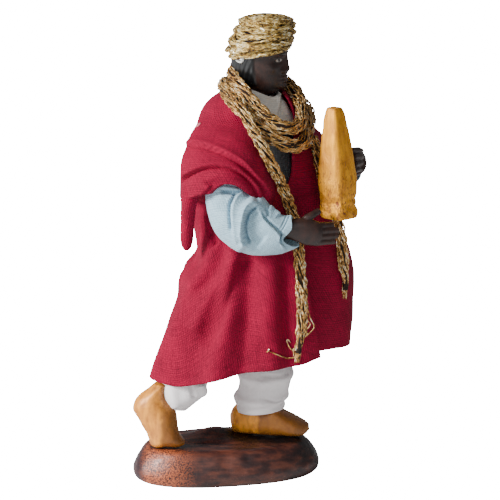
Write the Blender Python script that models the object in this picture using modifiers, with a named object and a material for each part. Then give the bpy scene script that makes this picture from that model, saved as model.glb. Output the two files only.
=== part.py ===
"""Nativity musician figurine: a clay figure in cloth clothes, striding on an oval clay base.

Metres, +Z up. The origin is the centre of the base's flat underside. The figure strides along +X,
and its right side is towards -Y.
"""
import math

import bmesh
import bpy
from mathutils import Vector
from mathutils.bvhtree import BVHTree

# Driving dimensions
BASE_LENGTH = 0.0424
BASE_WIDTH = 0.0236
BASE_HEIGHT = 0.0080
BASE_TURN = math.radians(10)
FIGURE_HEIGHT = 0.0963
CLOTH_THICKNESS = 0.0009
COLLAR_THICKNESS = 0.0008
SCARF_DIAMETER = 0.0031
SCARF_END_DIAMETER = 0.0025
GAP = 0.0003

# The figure's own units: 1 is a millimetre at this figure's height. Its heights count from the
# base's underside, and its soles are at SOLE_LEVEL.
UNIT = FIGURE_HEIGHT / 96.3
SOLE_LEVEL = 8.3
SOLE_HEIGHT = BASE_HEIGHT + GAP

# The body is turned this far from the stride towards the figure's right
BODY_TURN = math.radians(-28)
FORWARD = Vector((math.cos(BODY_TURN), math.sin(BODY_TURN), 0))
LEFT = Vector((-math.sin(BODY_TURN), math.cos(BODY_TURN), 0))


def at(x, y, z):
    """Place of a point given in the figure's own units."""
    return Vector((x * UNIT, y * UNIT, SOLE_HEIGHT + (z - SOLE_LEVEL) * UNIT))


def reach(x, y, z):
    """Vector given in the figure's own units."""
    return Vector((x, y, z)) * UNIT


# Helpers for smooth values
def through(knots, t):
    """Smooth curve through evenly spaced knots, at t from 0 to 1."""
    last = len(knots) - 1
    spot = min(max(t, 0.0), 1.0) * last
    i = min(int(spot), last - 1)
    f = spot - i
    a, b, c, d = (knots[max(0, min(last, i + k))] for k in (-1, 0, 1, 2))
    return 0.5 * (2 * b + (c - a) * f + (2 * a - 5 * b + 4 * c - d) * f * f + (3 * b - a - 3 * c + d) * f ** 3)


def lookup(table, key):
    """Columns of a table at a key between its rows, along a smooth curve."""
    if key <= table[0][0]:
        return list(table[0][1:])
    if key >= table[-1][0]:
        return list(table[-1][1:])
    i = max(k for k in range(len(table) - 1) if table[k][0] <= key)
    before, low, high, after = (table[max(0, min(len(table) - 1, k))] for k in (i - 1, i, i + 1, i + 2))
    span = high[0] - low[0]
    f = (key - low[0]) / span
    values = []
    for column in range(1, len(low)):
        rise_low = span * (high[column] - before[column]) / (high[0] - before[0])
        rise_high = span * (after[column] - low[column]) / (after[0] - low[0])
        values.append((2 * f ** 3 - 3 * f * f + 1) * low[column] + (f ** 3 - 2 * f * f + f) * rise_low
                      + (3 * f * f - 2 * f ** 3) * high[column] + (f ** 3 - f * f) * rise_high)
    return values


def ease(value, start, end):
    """0 before start, 1 after end, smooth between."""
    f = min(max((value - start) / (end - start), 0.0), 1.0)
    return f * f * (3 - 2 * f)


def bump(value, centre, width):
    """A smooth hump of height 1."""
    return math.exp(-((value - centre) / width) ** 2)


# Helpers for objects
def new_collection(name):
    collection = bpy.data.collections.new(name)
    bpy.context.scene.collection.children.link(collection)
    return collection


def paint(name, colour, roughness, metallic=0.0):
    """A plain material."""
    material = bpy.data.materials.new(name)
    material.use_nodes = True
    shader = material.node_tree.nodes["Principled BSDF"]
    shader.inputs["Base Color"].default_value = (*colour, 1.0)
    shader.inputs["Roughness"].default_value = roughness
    shader.inputs["Metallic"].default_value = metallic
    material.diffuse_color = (*colour, 1.0)
    return material


def add_object(name, mesh, collection, material=None):
    """An object for a mesh, shaded smooth, in a collection."""
    item = bpy.data.objects.new(name, mesh)
    collection.objects.link(item)
    mesh.shade_smooth()
    mesh.set_sharp_from_angle(angle=math.radians(50))
    if material:
        mesh.materials.append(material)
    return item


def grid_mesh(name, point, around, along, closed=True):
    """A mesh whose grid runs over point(u, v). Closed ones are tubes with capped ends."""
    bm = bmesh.new()
    bmesh.ops.create_grid(bm, x_segments=around, y_segments=along, size=0.5)
    for vert in bm.verts:
        vert.co = point(vert.co.x + 0.5, vert.co.y + 0.5)
    if closed:
        bmesh.ops.remove_doubles(bm, verts=bm.verts[:], dist=1e-6)
        bmesh.ops.holes_fill(bm, edges=[edge for edge in bm.edges if edge.is_boundary], sides=0)
        bmesh.ops.recalc_face_normals(bm, faces=bm.faces[:])
    mesh = bpy.data.meshes.new(name)
    bm.to_mesh(mesh)
    bm.free()
    return mesh


def loft_mesh(name, stations, around, along, grow=0.0, square=2.0):
    """A closed body through oval sections, each a centre and two half-axes, with round ends."""
    centres, firsts, seconds = zip(*stations)
    start_push = (centres[0] - centres[1]).normalized() * grow
    end_push = (centres[-1] - centres[-2]).normalized() * grow

    def point(u, v):
        spot = min(max((v * (along + 2) - 1) / along, 0.0), 1.0)
        centre = through(centres, spot)
        if spot == 0.0:
            centre = centre + start_push
        if spot == 1.0:
            centre = centre + end_push
        if v < 0.5 / (along + 2) or v > 1 - 0.5 / (along + 2):
            return centre
        first, second = through(firsts, spot), through(seconds, spot)
        c, s = math.cos(math.tau * u), math.sin(math.tau * u)
        soft = (abs(c) ** square + abs(s) ** square) ** (-1 / square)
        return (centre + first * (soft * c * (1 + grow / first.length))
                + second * (soft * s * (1 + grow / second.length)))

    return grid_mesh(name, point, around, along + 2)


def limb_stations(points, across):
    """Stations of a limb: each point is x, y, z, half-width across and half-width the other way."""
    places = [at(*point[:3]) for point in points]
    stations = []
    for i, point in enumerate(points):
        way = (places[min(i + 1, len(places) - 1)] - places[max(i - 1, 0)]).normalized()
        side = (across - way * across.dot(way)).normalized()
        stations.append((places[i], side * point[3] * UNIT, way.cross(side) * point[4] * UNIT))
    return stations


def rail_stations(points):
    """Stations of a foot: each is the sole's x and z, the top's x and z, the half-width and its y."""
    return [(at((low_x + high_x) / 2, y, (low_z + high_z) / 2),
             reach((high_x - low_x) / 2, 0, (high_z - low_z) / 2), reach(0, width, 0))
            for low_x, low_z, high_x, high_z, width, y in points]


def baked(item):
    """Replaces an object's mesh by what its modifiers make of it, keeping the largest body.

    A curve becomes a mesh, with its loose caps welded on.
    """
    evaluated = item.evaluated_get(bpy.context.evaluated_depsgraph_get())
    mesh = bpy.data.meshes.new_from_object(evaluated)
    item.modifiers.clear()
    was_curve = item.type == "CURVE"
    if was_curve:
        solid = add_object("welded", mesh, item.users_collection[0])
        solid.matrix_world = item.matrix_world
        name = item.name
        bpy.data.objects.remove(item)
        solid.name = name
        item = solid
    else:
        item.data = mesh
    bm = bmesh.new()
    bm.from_mesh(mesh)
    if was_curve:
        bmesh.ops.remove_doubles(bm, verts=bm.verts[:], dist=1e-6)
    bodies, seen = [], set()
    for face in bm.faces:
        if face in seen:
            continue
        body, edge_of_body = {face}, [face]
        while edge_of_body:
            for edge in edge_of_body.pop().edges:
                for other in edge.link_faces:
                    if other not in body:
                        body.add(other)
                        edge_of_body.append(other)
        seen |= body
        bodies.append(body)
    largest = max(bodies, key=lambda body: sum(face.calc_area() for face in body))
    strays = [face for face in bm.faces if face not in largest]
    bmesh.ops.delete(bm, geom=strays, context="FACES")
    bm.to_mesh(mesh)
    bm.free()
    mesh.shade_smooth()
    mesh.set_sharp_from_angle(angle=math.radians(50))
    return item


def combine(item, others, operation):
    """Joins or cuts an object by others, and bakes the result."""
    for other in others:
        step = item.modifiers.new(other.name, "BOOLEAN")
        step.operation = operation
        step.solver = "EXACT"
        step.object = other
    bpy.context.view_layer.update()
    return baked(item)


def as_cutter(item):
    """Marks an object as a guide that isn't part of the model."""
    item.hide_render = True
    item.display_type = "WIRE"
    return item


class Solid:
    """A named solid, and the cutter that keeps its neighbours clear of it by the gap."""

    def __init__(self, name, make_mesh, material, parts, cutters):
        self.item = add_object(name, make_mesh(name, 0.0), parts, material)
        self.cutter = as_cutter(add_object("clear_" + name, make_mesh("clear_" + name, GAP), cutters))

    def cut_by(self, *others):
        self.item = combine(self.item, [other.cutter for other in others], "DIFFERENCE")


# Base
BASE_PROFILE = [(0.0, 0.930), (0.08, 0.975), (0.28, 1.0), (0.55, 0.965), (0.80, 0.905), (0.94, 0.850),
                (1.0, 0.780)]


def base_mesh(name, grow):
    """Oval clay base: a slightly uneven oval whose sides lean in and are rounded above and below."""
    turn = Vector((math.cos(BASE_TURN), math.sin(BASE_TURN), 0))
    across = Vector((-turn.y, turn.x, 0))

    def point(u, v):
        height, share = lookup([(k / (len(BASE_PROFILE) - 1), *row) for k, row in enumerate(BASE_PROFILE)], v)
        angle = math.tau * u
        uneven = 1 + 0.018 * math.sin(2 * angle + 0.7) + 0.012 * math.sin(3 * angle + 2.1)
        c, s = math.cos(angle), math.sin(angle)
        soft = (abs(c) ** 2.3 + abs(s) ** 2.3) ** (-1 / 2.3)
        place = (turn * (c * soft * BASE_LENGTH / 2) + across * (s * soft * BASE_WIDTH / 2)) * share * uneven
        return place + Vector((0, 0, height * BASE_HEIGHT + grow * (2 * v - 1)))

    return grid_mesh(name, point, 28, len(BASE_PROFILE) - 1)


# Shoes: sole x, sole z, top x, top z, half-width, y
SHOE_RIGHT = [(-9.2, 8.9, -9.0, 9.7, 1.3, -7.0), (-10.6, 8.3, -9.9, 11.0, 2.7, -7.0),
              (-13.2, 8.3, -10.5, 13.0, 3.6, -6.9), (-16.3, 8.4, -10.7, 15.3, 3.8, -6.7),
              (-17.8, 11.6, -11.2, 17.4, 3.5, -6.4), (-19.7, 14.8, -12.2, 18.6, 3.3, -6.1),
              (-20.7, 17.2, -12.9, 19.6, 3.2, -5.9), (-19.8, 19.5, -13.0, 20.9, 3.0, -5.7),
              (-17.4, 21.4, -12.5, 22.0, 2.7, -5.5), (-15.9, 22.6, -11.8, 22.8, 2.4, -5.4)]
SHOE_LEFT = [(1.2, 10.0, 1.0, 12.0, 1.7, 5.0), (1.9, 8.5, 2.0, 14.2, 2.9, 4.7),
             (4.2, 8.3, 4.4, 15.6, 3.4, 4.1), (7.6, 8.3, 7.8, 16.2, 3.6, 3.2),
             (10.8, 8.3, 10.9, 15.6, 4.0, 2.5), (13.6, 8.3, 13.4, 13.9, 4.3, 2.3),
             (16.0, 8.3, 15.8, 12.6, 4.1, 2.5), (18.0, 8.5, 17.8, 11.5, 3.0, 2.9),
             (19.2, 9.4, 19.1, 10.5, 1.3, 3.2)]


def shoe_mesh(points):
    return lambda name, grow: loft_mesh(name, rail_stations(points), 13, 12, grow, 2.5)


# Limbs and body: x, y, z, half-width across, half-width the other way
LEG_RIGHT = [(-10.4, -6.2, 16.6, 1.6, 1.4), (-10.2, -5.9, 19.0, 3.7, 3.4), (-9.2, -5.4, 22.0, 4.9, 4.0),
             (-7.2, -5.0, 26.5, 4.6, 4.0), (-4.2, -4.8, 33.0, 4.8, 4.3), (-1.8, -4.7, 38.0, 4.9, 4.5),
             (-0.6, -4.7, 40.4, 4.6, 4.4)]
LEG_LEFT = [(8.0, 3.6, 13.5, 4.9, 4.9), (7.9, 3.6, 14.6, 5.7, 5.6), (8.4, 3.7, 18.0, 5.6, 5.5),
            (9.2, 3.8, 23.0, 6.0, 5.5), (9.4, 4.2, 32.0, 5.6, 5.2), (8.9, 4.7, 38.0, 5.0, 4.8),
            (8.7, 4.8, 41.0, 4.6, 4.4)]
TROUSER_SEAT = [(4.6, -0.6, 37.6, 6.4, 3.6), (5.0, -0.6, 39.6, 8.2, 5.0), (5.4, -0.5, 42.0, 8.8, 5.8),
                (5.5, -0.5, 43.2, 8.4, 5.8)]
TUNIC = [(5.6, -0.5, 44.4, 8.6, 6.0), (5.8, -0.5, 47.0, 9.2, 6.6), (6.2, -0.6, 56.0, 8.8, 7.0),
         (6.6, -0.8, 66.0, 9.4, 7.6), (6.4, -0.8, 74.0, 10.0, 7.2), (6.0, -0.6, 79.5, 9.0, 6.0),
         (6.2, -0.5, 83.0, 6.4, 5.0), (6.4, -0.5, 85.0, 4.6, 4.2)]
SLEEVE_RIGHT = [(0.6, -9.4, 78.0, 3.2, 3.2), (0.4, -12.0, 73.0, 3.9, 3.7), (0.7, -14.2, 67.0, 4.4, 4.2),
                (2.3, -15.3, 62.6, 4.5, 5.0), (5.8, -16.2, 60.7, 4.2, 5.9), (9.6, -16.9, 59.7, 3.7, 5.2),
                (13.0, -17.3, 59.6, 3.1, 4.1), (15.4, -17.5, 60.2, 2.7, 3.5)]
SLEEVE_LEFT = [(11.4, 8.4, 78.0, 3.2, 3.2), (12.6, 10.4, 73.4, 3.9, 3.9), (14.2, 12.0, 68.6, 4.2, 4.2),
               (16.6, 12.0, 64.8, 4.3, 4.1), (19.8, 10.0, 63.6, 4.2, 4.0), (23.0, 6.6, 65.6, 4.0, 4.1),
               (25.6, 3.4, 68.2, 3.7, 3.9), (27.6, 0.8, 70.2, 3.2, 3.5)]


def limb_mesh(points, across, around, along, square=2.0):
    return lambda name, grow: loft_mesh(name, limb_stations(points, across), around, along, grow, square)


def joined(name, meshes):
    """One mesh for the union of several closed bodies."""
    holder = bpy.context.scene.collection
    items = [add_object("shape", mesh, holder) for mesh in meshes]
    whole = combine(items[0], items[1:], "UNION")
    mesh = whole.data
    for item in items:
        bpy.data.objects.remove(item)
    mesh.name = name
    return mesh


def trousers_mesh(name, grow):
    """Trousers: the trailing leg, the leading leg with soft rings of cloth above its hem, and the seat."""
    trailing = loft_mesh(name, limb_stations(LEG_RIGHT, Vector((1, 0, 0))), 14, 10, grow)
    seat = loft_mesh(name, limb_stations(TROUSER_SEAT, LEFT), 16, 4, grow)
    stations = limb_stations(LEG_LEFT, Vector((1, 0, 0)))
    mesh = loft_mesh(name, stations, 14, 13, grow)
    for vert in mesh.vertices:
        height = (vert.co.z - SOLE_HEIGHT) / UNIT + SOLE_LEVEL
        axis = at(8.3, 3.7, height)
        out = Vector((vert.co.x - axis.x, vert.co.y - axis.y, 0))
        swell = 0.5 * bump(height, 17.2, 1.2) + 0.5 * bump(height, 22.6, 1.4) - 0.4 * bump(height, 20, 1.2)
        if out.length > UNIT:
            vert.co += out.normalized() * swell * UNIT
    return joined(name, [seat, mesh, trailing])


# Head: height, back x, front x, half-width, fullness of the front
HEAD = [(84.0, 3.4, 9.8, 3.2), (87.0, 3.6, 9.8, 3.1), (88.3, 3.4, 12.0, 3.5), (89.4, 2.9, 13.4, 4.2),
        (91.5, 2.2, 13.6, 4.9), (94.0, 1.9, 13.4, 5.3), (96.2, 1.9, 13.6, 5.5), (98.5, 2.2, 13.7, 5.6),
        (101.0, 3.4, 12.6, 4.9), (103.0, 5.9, 10.2, 2.8)]
HEAD_Y = -0.6
HEAD_ROWS = 18


def head_mesh(name, grow):
    """Head and neck, facing along the stride, with a plain nose, brow, lips and chin."""
    def point(u, v):
        height = HEAD[0][0] + (HEAD[-1][0] - HEAD[0][0]) * min(max((v * HEAD_ROWS - 1) / (HEAD_ROWS - 2), 0.0), 1.0)
        back, front, width = lookup(HEAD, height)
        centre = at((back + front) / 2, HEAD_Y, height)
        if v < 0.02 or v > 0.98:
            return centre + Vector((0, 0, grow if v > 0.5 else -grow))
        angle = math.tau * u
        c, s = math.cos(angle), math.sin(angle)
        face = bump(angle if angle < math.pi else angle - math.tau, 0, 0.22)
        nose = face * (1.5 * bump(height, 93.0, 0.9) + 0.7 * bump(height, 94.4, 1.0))
        features = nose + 0.5 * bump(height, 96.3, 0.5) * ease(c, 0.4, 0.9)
        features += face * (0.5 * bump(height, 91.2, 0.5) + 0.4 * bump(height, 89.2, 0.6))
        return centre + Vector((c * ((front - back) / 2 * UNIT + grow) + features * UNIT,
                                s * (width * UNIT + grow), 0))

    return grid_mesh(name, point, 16, HEAD_ROWS)


# Turban: share of its radius and height for each side of its five wound layers
TURBAN_CENTRE = at(8.1, -0.6, 99.9)
TURBAN_LENGTH = 7.3 * UNIT
TURBAN_WIDTH = 6.9 * UNIT
TURBAN_RISE = 4.6 * UNIT
TURBAN_TILT = math.radians(-13)


def turban_mesh(name, grow):
    """A low dome of five wound layers, tilted up over the brow."""
    def point(u, v):
        rise = math.pi * (v - 0.5)
        layers = 1 + 0.035 * math.cos(math.tau * 5 * (v - 0.1) / 0.8)
        spread = (math.cos(rise) ** 0.55 if 0 < v < 1 else 0.0) * layers
        angle = math.tau * u
        place = Vector((math.cos(angle) * spread * (TURBAN_LENGTH + grow),
                        math.sin(angle) * spread * (TURBAN_WIDTH + grow),
                        math.sin(rise) * (TURBAN_RISE + grow)))
        lean = Vector((place.x, place.y, place.z - math.tan(TURBAN_TILT) * place.x))
        return TURBAN_CENTRE + lean

    return grid_mesh(name, point, 18, 11)


# Collar: a band round the neck that crosses low in front
def collar_point(u, v, out):
    """The collar's surface: u runs round the neck from the front crossing, v from top to bottom."""
    angle = math.tau * u
    front = 0.5 + 0.5 * math.cos(angle)
    radius = 4.9 + 1.9 * v + 2.4 * front ** 3 * v
    top, bottom = 89.4 - 2.8 * front ** 4, 85.0 - 4.4 * front ** 4
    centre = at(6.8, -0.6, top + (bottom - top) * v)
    way = FORWARD * math.cos(angle) + LEFT * math.sin(angle)
    return centre + way * (radius * UNIT + out)


def collar_mesh(name, grow):
    thick = COLLAR_THICKNESS
    rows = [(0.0, grow), (0.5, grow), (1.0, grow), (1.0, -thick - grow), (0.5, -thick - grow),
            (0.0, -thick - grow)]

    def point(u, v):
        share, out = rows[round(v * len(rows)) % len(rows)]
        return collar_point(u, share, out)

    return grid_mesh(name, point, 18, len(rows))


# Hands: each finger is start, end, start radius, end radius
HAND_RIGHT_PALM = [(14.2, -17.5, 60.9, 1.9, 1.3), (16.0, -17.5, 60.5, 2.5, 1.5), (18.2, -17.3, 59.9, 2.9, 1.5),
                   (20.2, -16.9, 59.5, 2.6, 1.4), (21.0, -16.7, 59.4, 1.9, 1.0)]
HAND_RIGHT_FINGERS = [((19.6, -17.0, 61.3), (25.0, -15.0, 61.0), 0.85, 0.65),
                      ((19.6, -17.1, 59.9), (25.3, -15.2, 59.6), 0.85, 0.65),
                      ((19.6, -17.1, 58.6), (24.8, -15.4, 58.2), 0.82, 0.62),
                      ((19.2, -17.0, 57.5), (23.2, -15.7, 57.0), 0.75, 0.58),
                      ((16.8, -17.0, 62.1), (20.4, -15.9, 64.2), 0.95, 0.75)]
HAND_LEFT_PALM = [(27.2, 1.4, 69.8, 1.9, 1.3), (28.4, -0.2, 71.0, 2.4, 1.4), (29.6, -1.8, 72.4, 2.7, 1.4),
                  (30.2, -3.2, 73.2, 2.4, 1.3)]
HAND_LEFT_FINGERS = [((30.2, -2.6, 75.0), (27.8, -6.8, 76.0), 0.85, 0.62),
                     ((30.4, -2.8, 73.7), (28.4, -7.4, 74.6), 0.85, 0.62),
                     ((30.3, -3.0, 72.4), (28.6, -7.4, 73.0), 0.82, 0.62),
                     ((30.0, -3.0, 71.2), (28.6, -6.8, 71.4), 0.75, 0.58),
                     ((28.8, -0.6, 73.6), (26.2, -3.0, 76.6), 0.90, 0.70)]


def hand_mesh(palm, fingers, across):
    """A palm with four fingers and a thumb, joined to one body."""
    def make(name, grow):
        shapes = [loft_mesh(name, limb_stations(palm, across), 9, 4, grow)]
        for start, end, wide, narrow in fingers:
            middle = [(a + b) / 2 for a, b in zip(start, end)]
            points = [(*start, wide * 0.8, wide * 0.8), (*middle, wide, wide), (*end, narrow, narrow)]
            shapes.append(loft_mesh(name + "_finger", limb_stations(points, Vector((0, 0, 1))), 6, 3, grow))
        return joined(name, shapes)
    return make


# Instrument: height, half-diagonal of its rounded square section
INSTRUMENT_AXIS = ((25.1, -10.9), (23.9, -10.6))
INSTRUMENT = [(61.9, 4.1), (62.8, 4.4), (65.0, 4.15), (67.6, 4.4), (70.0, 4.5), (76.0, 3.8), (82.0, 2.85),
              (85.3, 2.1), (86.1, 1.7)]
INSTRUMENT_TURN = math.radians(45)


def instrument_mesh(name, grow):
    """The held instrument: a tapering, rounded square horn with a flared foot and a flat top."""
    def point(u, v):
        low, high = INSTRUMENT[0][0], INSTRUMENT[-1][0]
        height = low + (high - low) * v
        size = lookup(INSTRUMENT, height)[0]
        (low_x, low_y), (high_x, high_y) = INSTRUMENT_AXIS
        centre = at(low_x + (high_x - low_x) * v, low_y + (high_y - low_y) * v, height)
        angle = math.tau * u
        c, s = math.cos(angle), math.sin(angle)
        soft = (abs(c) ** 4 + abs(s) ** 4) ** -0.25
        flat = INSTRUMENT_TURN + angle
        spread = (size * UNIT * 0.80 + grow) * soft
        return centre + Vector((math.cos(flat) * spread, math.sin(flat) * spread, grow * (2 * v - 1)))

    return grid_mesh(name, point, 14, 9)


# Cloak: reach of its plan to the left, right, near and far side at each height
CLOAK_CENTRE = (5.5, -0.5)
CLOAK_PLAN = [(22.0, -16.6, 26.8, -15.2, 13.6), (30.0, -14.0, 27.5, -14.8, 13.5),
              (36.0, -12.2, 28.0, -14.3, 13.3), (42.0, -10.7, 28.2, -13.9, 13.2),
              (47.0, -9.4, 28.3, -13.4, 13.2), (52.0, -7.6, 27.3, -12.8, 13.4),
              (57.0, -7.0, 25.6, -11.6, 13.6), (66.0, -7.4, 22.0, -11.2, 13.8),
              (72.0, -7.4, 20.6, -11.8, 13.6), (78.0, -6.6, 18.8, -12.2, 12.8),
              (82.0, -5.8, 17.2, -11.4, 11.4), (85.0, -4.4, 15.6, -10.0, 9.6),
              (87.0, -2.4, 14.2, -8.2, 7.8), (88.2, -0.2, 13.0, -6.9, 6.4)]
CLOAK_TOP = 88.2
# Angle of the near and the far front edge at each height
CLOAK_EDGES = [(22.0, -33.0, -31.0), (30.0, -34.5, -32.0), (45.0, -41.0, -38.0), (55.0, -46.0, -43.0),
               (66.0, -57.0, -47.0), (76.0, -74.0, -44.0), (86.0, -100.0, -31.0), (88.2, -106.0, -27.0)]
# Over each arm: angle, how far the cloak stands out, height of the edge that the sleeve comes out of
CLOAK_ARMS = [(-180.0, 0.0, 68.0), (-170.0, 0.8, 67.5), (-161.0, 2.8, 65.0), (-152.0, 4.8, 59.4),
              (-144.0, 6.2, 56.2), (-136.0, 7.4, 60.6), (-127.0, 8.3, 67.6), (-116.0, 8.8, 70.8),
              (-104.0, 8.8, 71.0), (-94.0, 7.8, 70.4), (-84.0, 6.2, 67.6), (-74.0, 3.6, 65.6),
              (-62.0, 0.6, 65.0), (-52.0, 0.0, 65.0), (-10.0, 0.0, 68.0), (4.0, 0.4, 72.0),
              (18.0, 2.8, 75.0), (30.0, 5.2, 72.0), (44.0, 7.0, 66.0), (60.0, 7.2, 60.0),
              (76.0, 5.6, 57.6), (92.0, 2.8, 60.0), (106.0, 0.8, 65.0), (120.0, 0.0, 68.0),
              (180.0, 0.0, 68.0)]
# Height of the hem at each angle
CLOAK_HEM = [(-180.0, 24.0), (-150.0, 23.6), (-128.0, 23.6), (-100.0, 26.0), (-75.0, 27.8), (-55.0, 29.4),
             (-34.0, 30.8), (0.0, 30.8), (40.0, 28.6), (90.0, 25.8), (135.0, 24.0), (180.0, 24.0)]
# Folds: angle at the hem, angle at the waist, width in degrees, depth
CLOAK_FOLDS = [(-168.0, -128.0, 11.0, 1.3), (-140.0, -116.0, 9.0, -1.2), (-118.0, -102.0, 10.0, 1.2),
               (-98.0, -88.0, 9.0, -0.9), (-72.0, -66.0, 9.0, 0.7), (-56.0, -56.0, 6.0, -0.5),
               (150.0, 146.0, 11.0, 1.2), (172.0, 168.0, 9.0, -1.0), (126.0, 124.0, 9.0, -1.0),
               (102.0, 104.0, 10.0, 1.1), (78.0, 82.0, 9.0, -0.9), (54.0, 58.0, 10.0, 1.0),
               (28.0, 34.0, 9.0, -0.8), (4.0, 6.0, 8.0, 0.8), (-16.0, -14.0, 7.0, -0.6)]
WAIST = 58.0
TUCK = 2.6
# Rolls of cloth pushed up over each forearm: height above the edge, half-height, how far they stand out
CLOAK_ROLLS = [(1.2, 1.0, 0.5), (4.8, 1.3, 1.1), (8.6, 1.5, 0.9), (3.0, 0.9, -0.5), (6.7, 0.9, -0.5)]
ROLL_LINE = 69.5


def plan_radius(angle, height):
    """Radius of the cloak's plan, without folds."""
    left, right, near, far = lookup(CLOAK_PLAN, height)
    c, s = math.cos(math.radians(angle)), math.sin(math.radians(angle))
    wide = right - CLOAK_CENTRE[0] if c > 0 else CLOAK_CENTRE[0] - left
    deep = far - CLOAK_CENTRE[1] if s > 0 else CLOAK_CENTRE[1] - near
    return (abs(c / wide) ** 2.3 + abs(s / deep) ** 2.3) ** (-1 / 2.3)


def fold_depth(angle, height):
    """Hanging folds: none at the shoulders, full at the hem."""
    depth = 0.0
    fall = min(max((WAIST - height) / (WAIST - 24.0), -0.3), 1.0)
    for hem_angle, waist_angle, width, deep in CLOAK_FOLDS:
        middle = waist_angle + (hem_angle - waist_angle) * fall
        away = (angle - middle + 180) % 360 - 180
        depth += deep * bump(away, 0, width)
    return depth * ease(height, 70.0, 46.0)


def roll_depth(angle, height, edge):
    """The rolls over the forearms, which run on level across the hanging flap behind."""
    line = max(edge, ROLL_LINE) if angle < -124 else edge
    near = ease(angle, -172, -150) * ease(-angle, 64, 84)
    far = 0.7 * ease(angle, 16, 34) * ease(-angle, -100, -84)
    return (near + far) * sum(deep * bump(height - line, middle, width) for middle, width, deep in CLOAK_ROLLS)


def cloak_point(u, v):
    """The cloak's surface: u runs from its near front edge round the back to its far front edge,
    v from the neck over the shoulders, under the edge that the sleeves come out of, to the hem."""
    shelf_start, shelf_end = 0.46, 0.50
    guess = CLOAK_TOP + (26.0 - CLOAK_TOP) * v
    for _ in range(3):
        near, far = lookup(CLOAK_EDGES, guess)
        angle = near + (far - 360 - near) * u
        wrapped = (angle + 180) % 360 - 180
        proud, edge = lookup(CLOAK_ARMS, wrapped)
        hem = lookup(CLOAK_HEM, wrapped)[0]
        if v <= shelf_start:
            guess = CLOAK_TOP + (edge - CLOAK_TOP) * (v / shelf_start) ** 0.85
        elif v >= shelf_end:
            guess = edge - 1.0 + (hem - edge + 1.0) * (v - shelf_end) / (1 - shelf_end)
        else:
            guess = edge - (v - shelf_start) / (shelf_end - shelf_start)
    height = guess
    over_arm = ease(height, 85.0, 73.0) * (1 - ease(v, shelf_start, shelf_end))
    radius = plan_radius(wrapped, height) + proud * over_arm + fold_depth(wrapped, height)
    radius += roll_depth(wrapped, height, edge) * (1 - ease(v, shelf_start, shelf_end))
    radius -= TUCK * ease(u, 0.90, 0.97) * ease(height, 72.0, 62.0)
    way = Vector((math.cos(math.radians(wrapped)), math.sin(math.radians(wrapped)), 0))
    return at(*CLOAK_CENTRE, height) + way * radius * UNIT


CLOAK_AROUND = 38
CLOAK_ALONG = 20


def cloak_surface():
    return grid_mesh("cloak_surface", cloak_point, CLOAK_AROUND, CLOAK_ALONG, closed=False)


def cloak_mesh(name):
    """The cloak as a thin wall, made a closed solid."""
    item = add_object("shape", cloak_surface(), bpy.context.scene.collection)
    wall = item.modifiers.new("wall", "SOLIDIFY")
    wall.thickness = CLOTH_THICKNESS
    wall.offset = -1.0
    bpy.context.view_layer.update()
    item = baked(item)
    mesh = item.data
    bpy.data.objects.remove(item)
    mesh.name = name
    return mesh


# Scarf: routes of its middle line, chosen by hand
SCARF_WOUND = [(6.6, 5.8, 93.0), (3.6, 4.0, 93.2), (1.9, 0.4, 92.8), (2.0, -4.0, 91.4), (3.8, -8.2, 89.8),
               (6.6, -11.6, 86.6), (10.4, -13.2, 83.4), (13.8, -12.8, 81.8), (16.4, -9.8, 82.2),
               (17.0, -5.2, 84.6), (15.8, 0.8, 87.2), (12.8, 5.8, 89.2), (8.4, 8.4, 89.8),
               (3.4, 7.8, 88.8), (0.4, 4.4, 88.8), (-0.2, -0.6, 89.2), (0.6, -5.8, 88.2),
               (3.0, -10.4, 86.2), (6.6, -13.8, 83.2), (11.0, -14.8, 79.8), (14.8, -13.6, 78.2),
               (17.4, -10.4, 78.6), (18.4, -5.2, 80.8), (17.8, 1.4, 83.0), (15.6, 6.6, 84.8)]
SCARF_END_RIGHT = [(2.6, -12.2, 88.2), (4.4, -14.6, 85.4), (6.8, -16.8, 81.4), (8.7, -17.6, 77.9),
                   (10.2, -17.2, 74.8), (11.9, -15.8, 71.2), (13.4, -14.2, 67.4), (14.9, -13.1, 62.8),
                   (16.0, -13.0, 57.6), (16.5, -14.2, 52.0), (16.9, -15.4, 44.6), (16.9, -15.7, 39.0),
                   (16.4, -15.9, 34.0), (15.9, -16.0, 30.4)]
SCARF_END_LEFT = [(18.8, -4.2, 78.4), (20.6, -4.6, 73.0), (22.0, -5.6, 69.0), (23.6, -6.2, 64.8),
                  (25.0, -6.8, 60.4), (25.8, -7.2, 56.0), (26.2, -7.0, 51.6), (26.6, -6.4, 47.0),
                  (26.4, -6.0, 42.4)]


def laid_on_cloak(places, clearance):
    """Places along a cord, moved off the cloak's outer surface where they come too near, in an even line."""
    surface = bmesh.new()
    surface.from_mesh(cloak_surface())
    tree = BVHTree.FromBMesh(surface)
    surface.free()
    for _ in range(6):
        for i, place in enumerate(places):
            touch, normal, _, away = tree.find_nearest(place)
            above = (place - touch).dot(normal)
            if away < clearance or (above < 0 and away < 2 * clearance):
                places[i] = place + normal * (clearance - above)
        inner = [(a + 2 * b + c) / 4 for a, b, c in zip(places, places[1:], places[2:])]
        places = [places[0]] + inner + [places[-1]]
    return places


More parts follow.
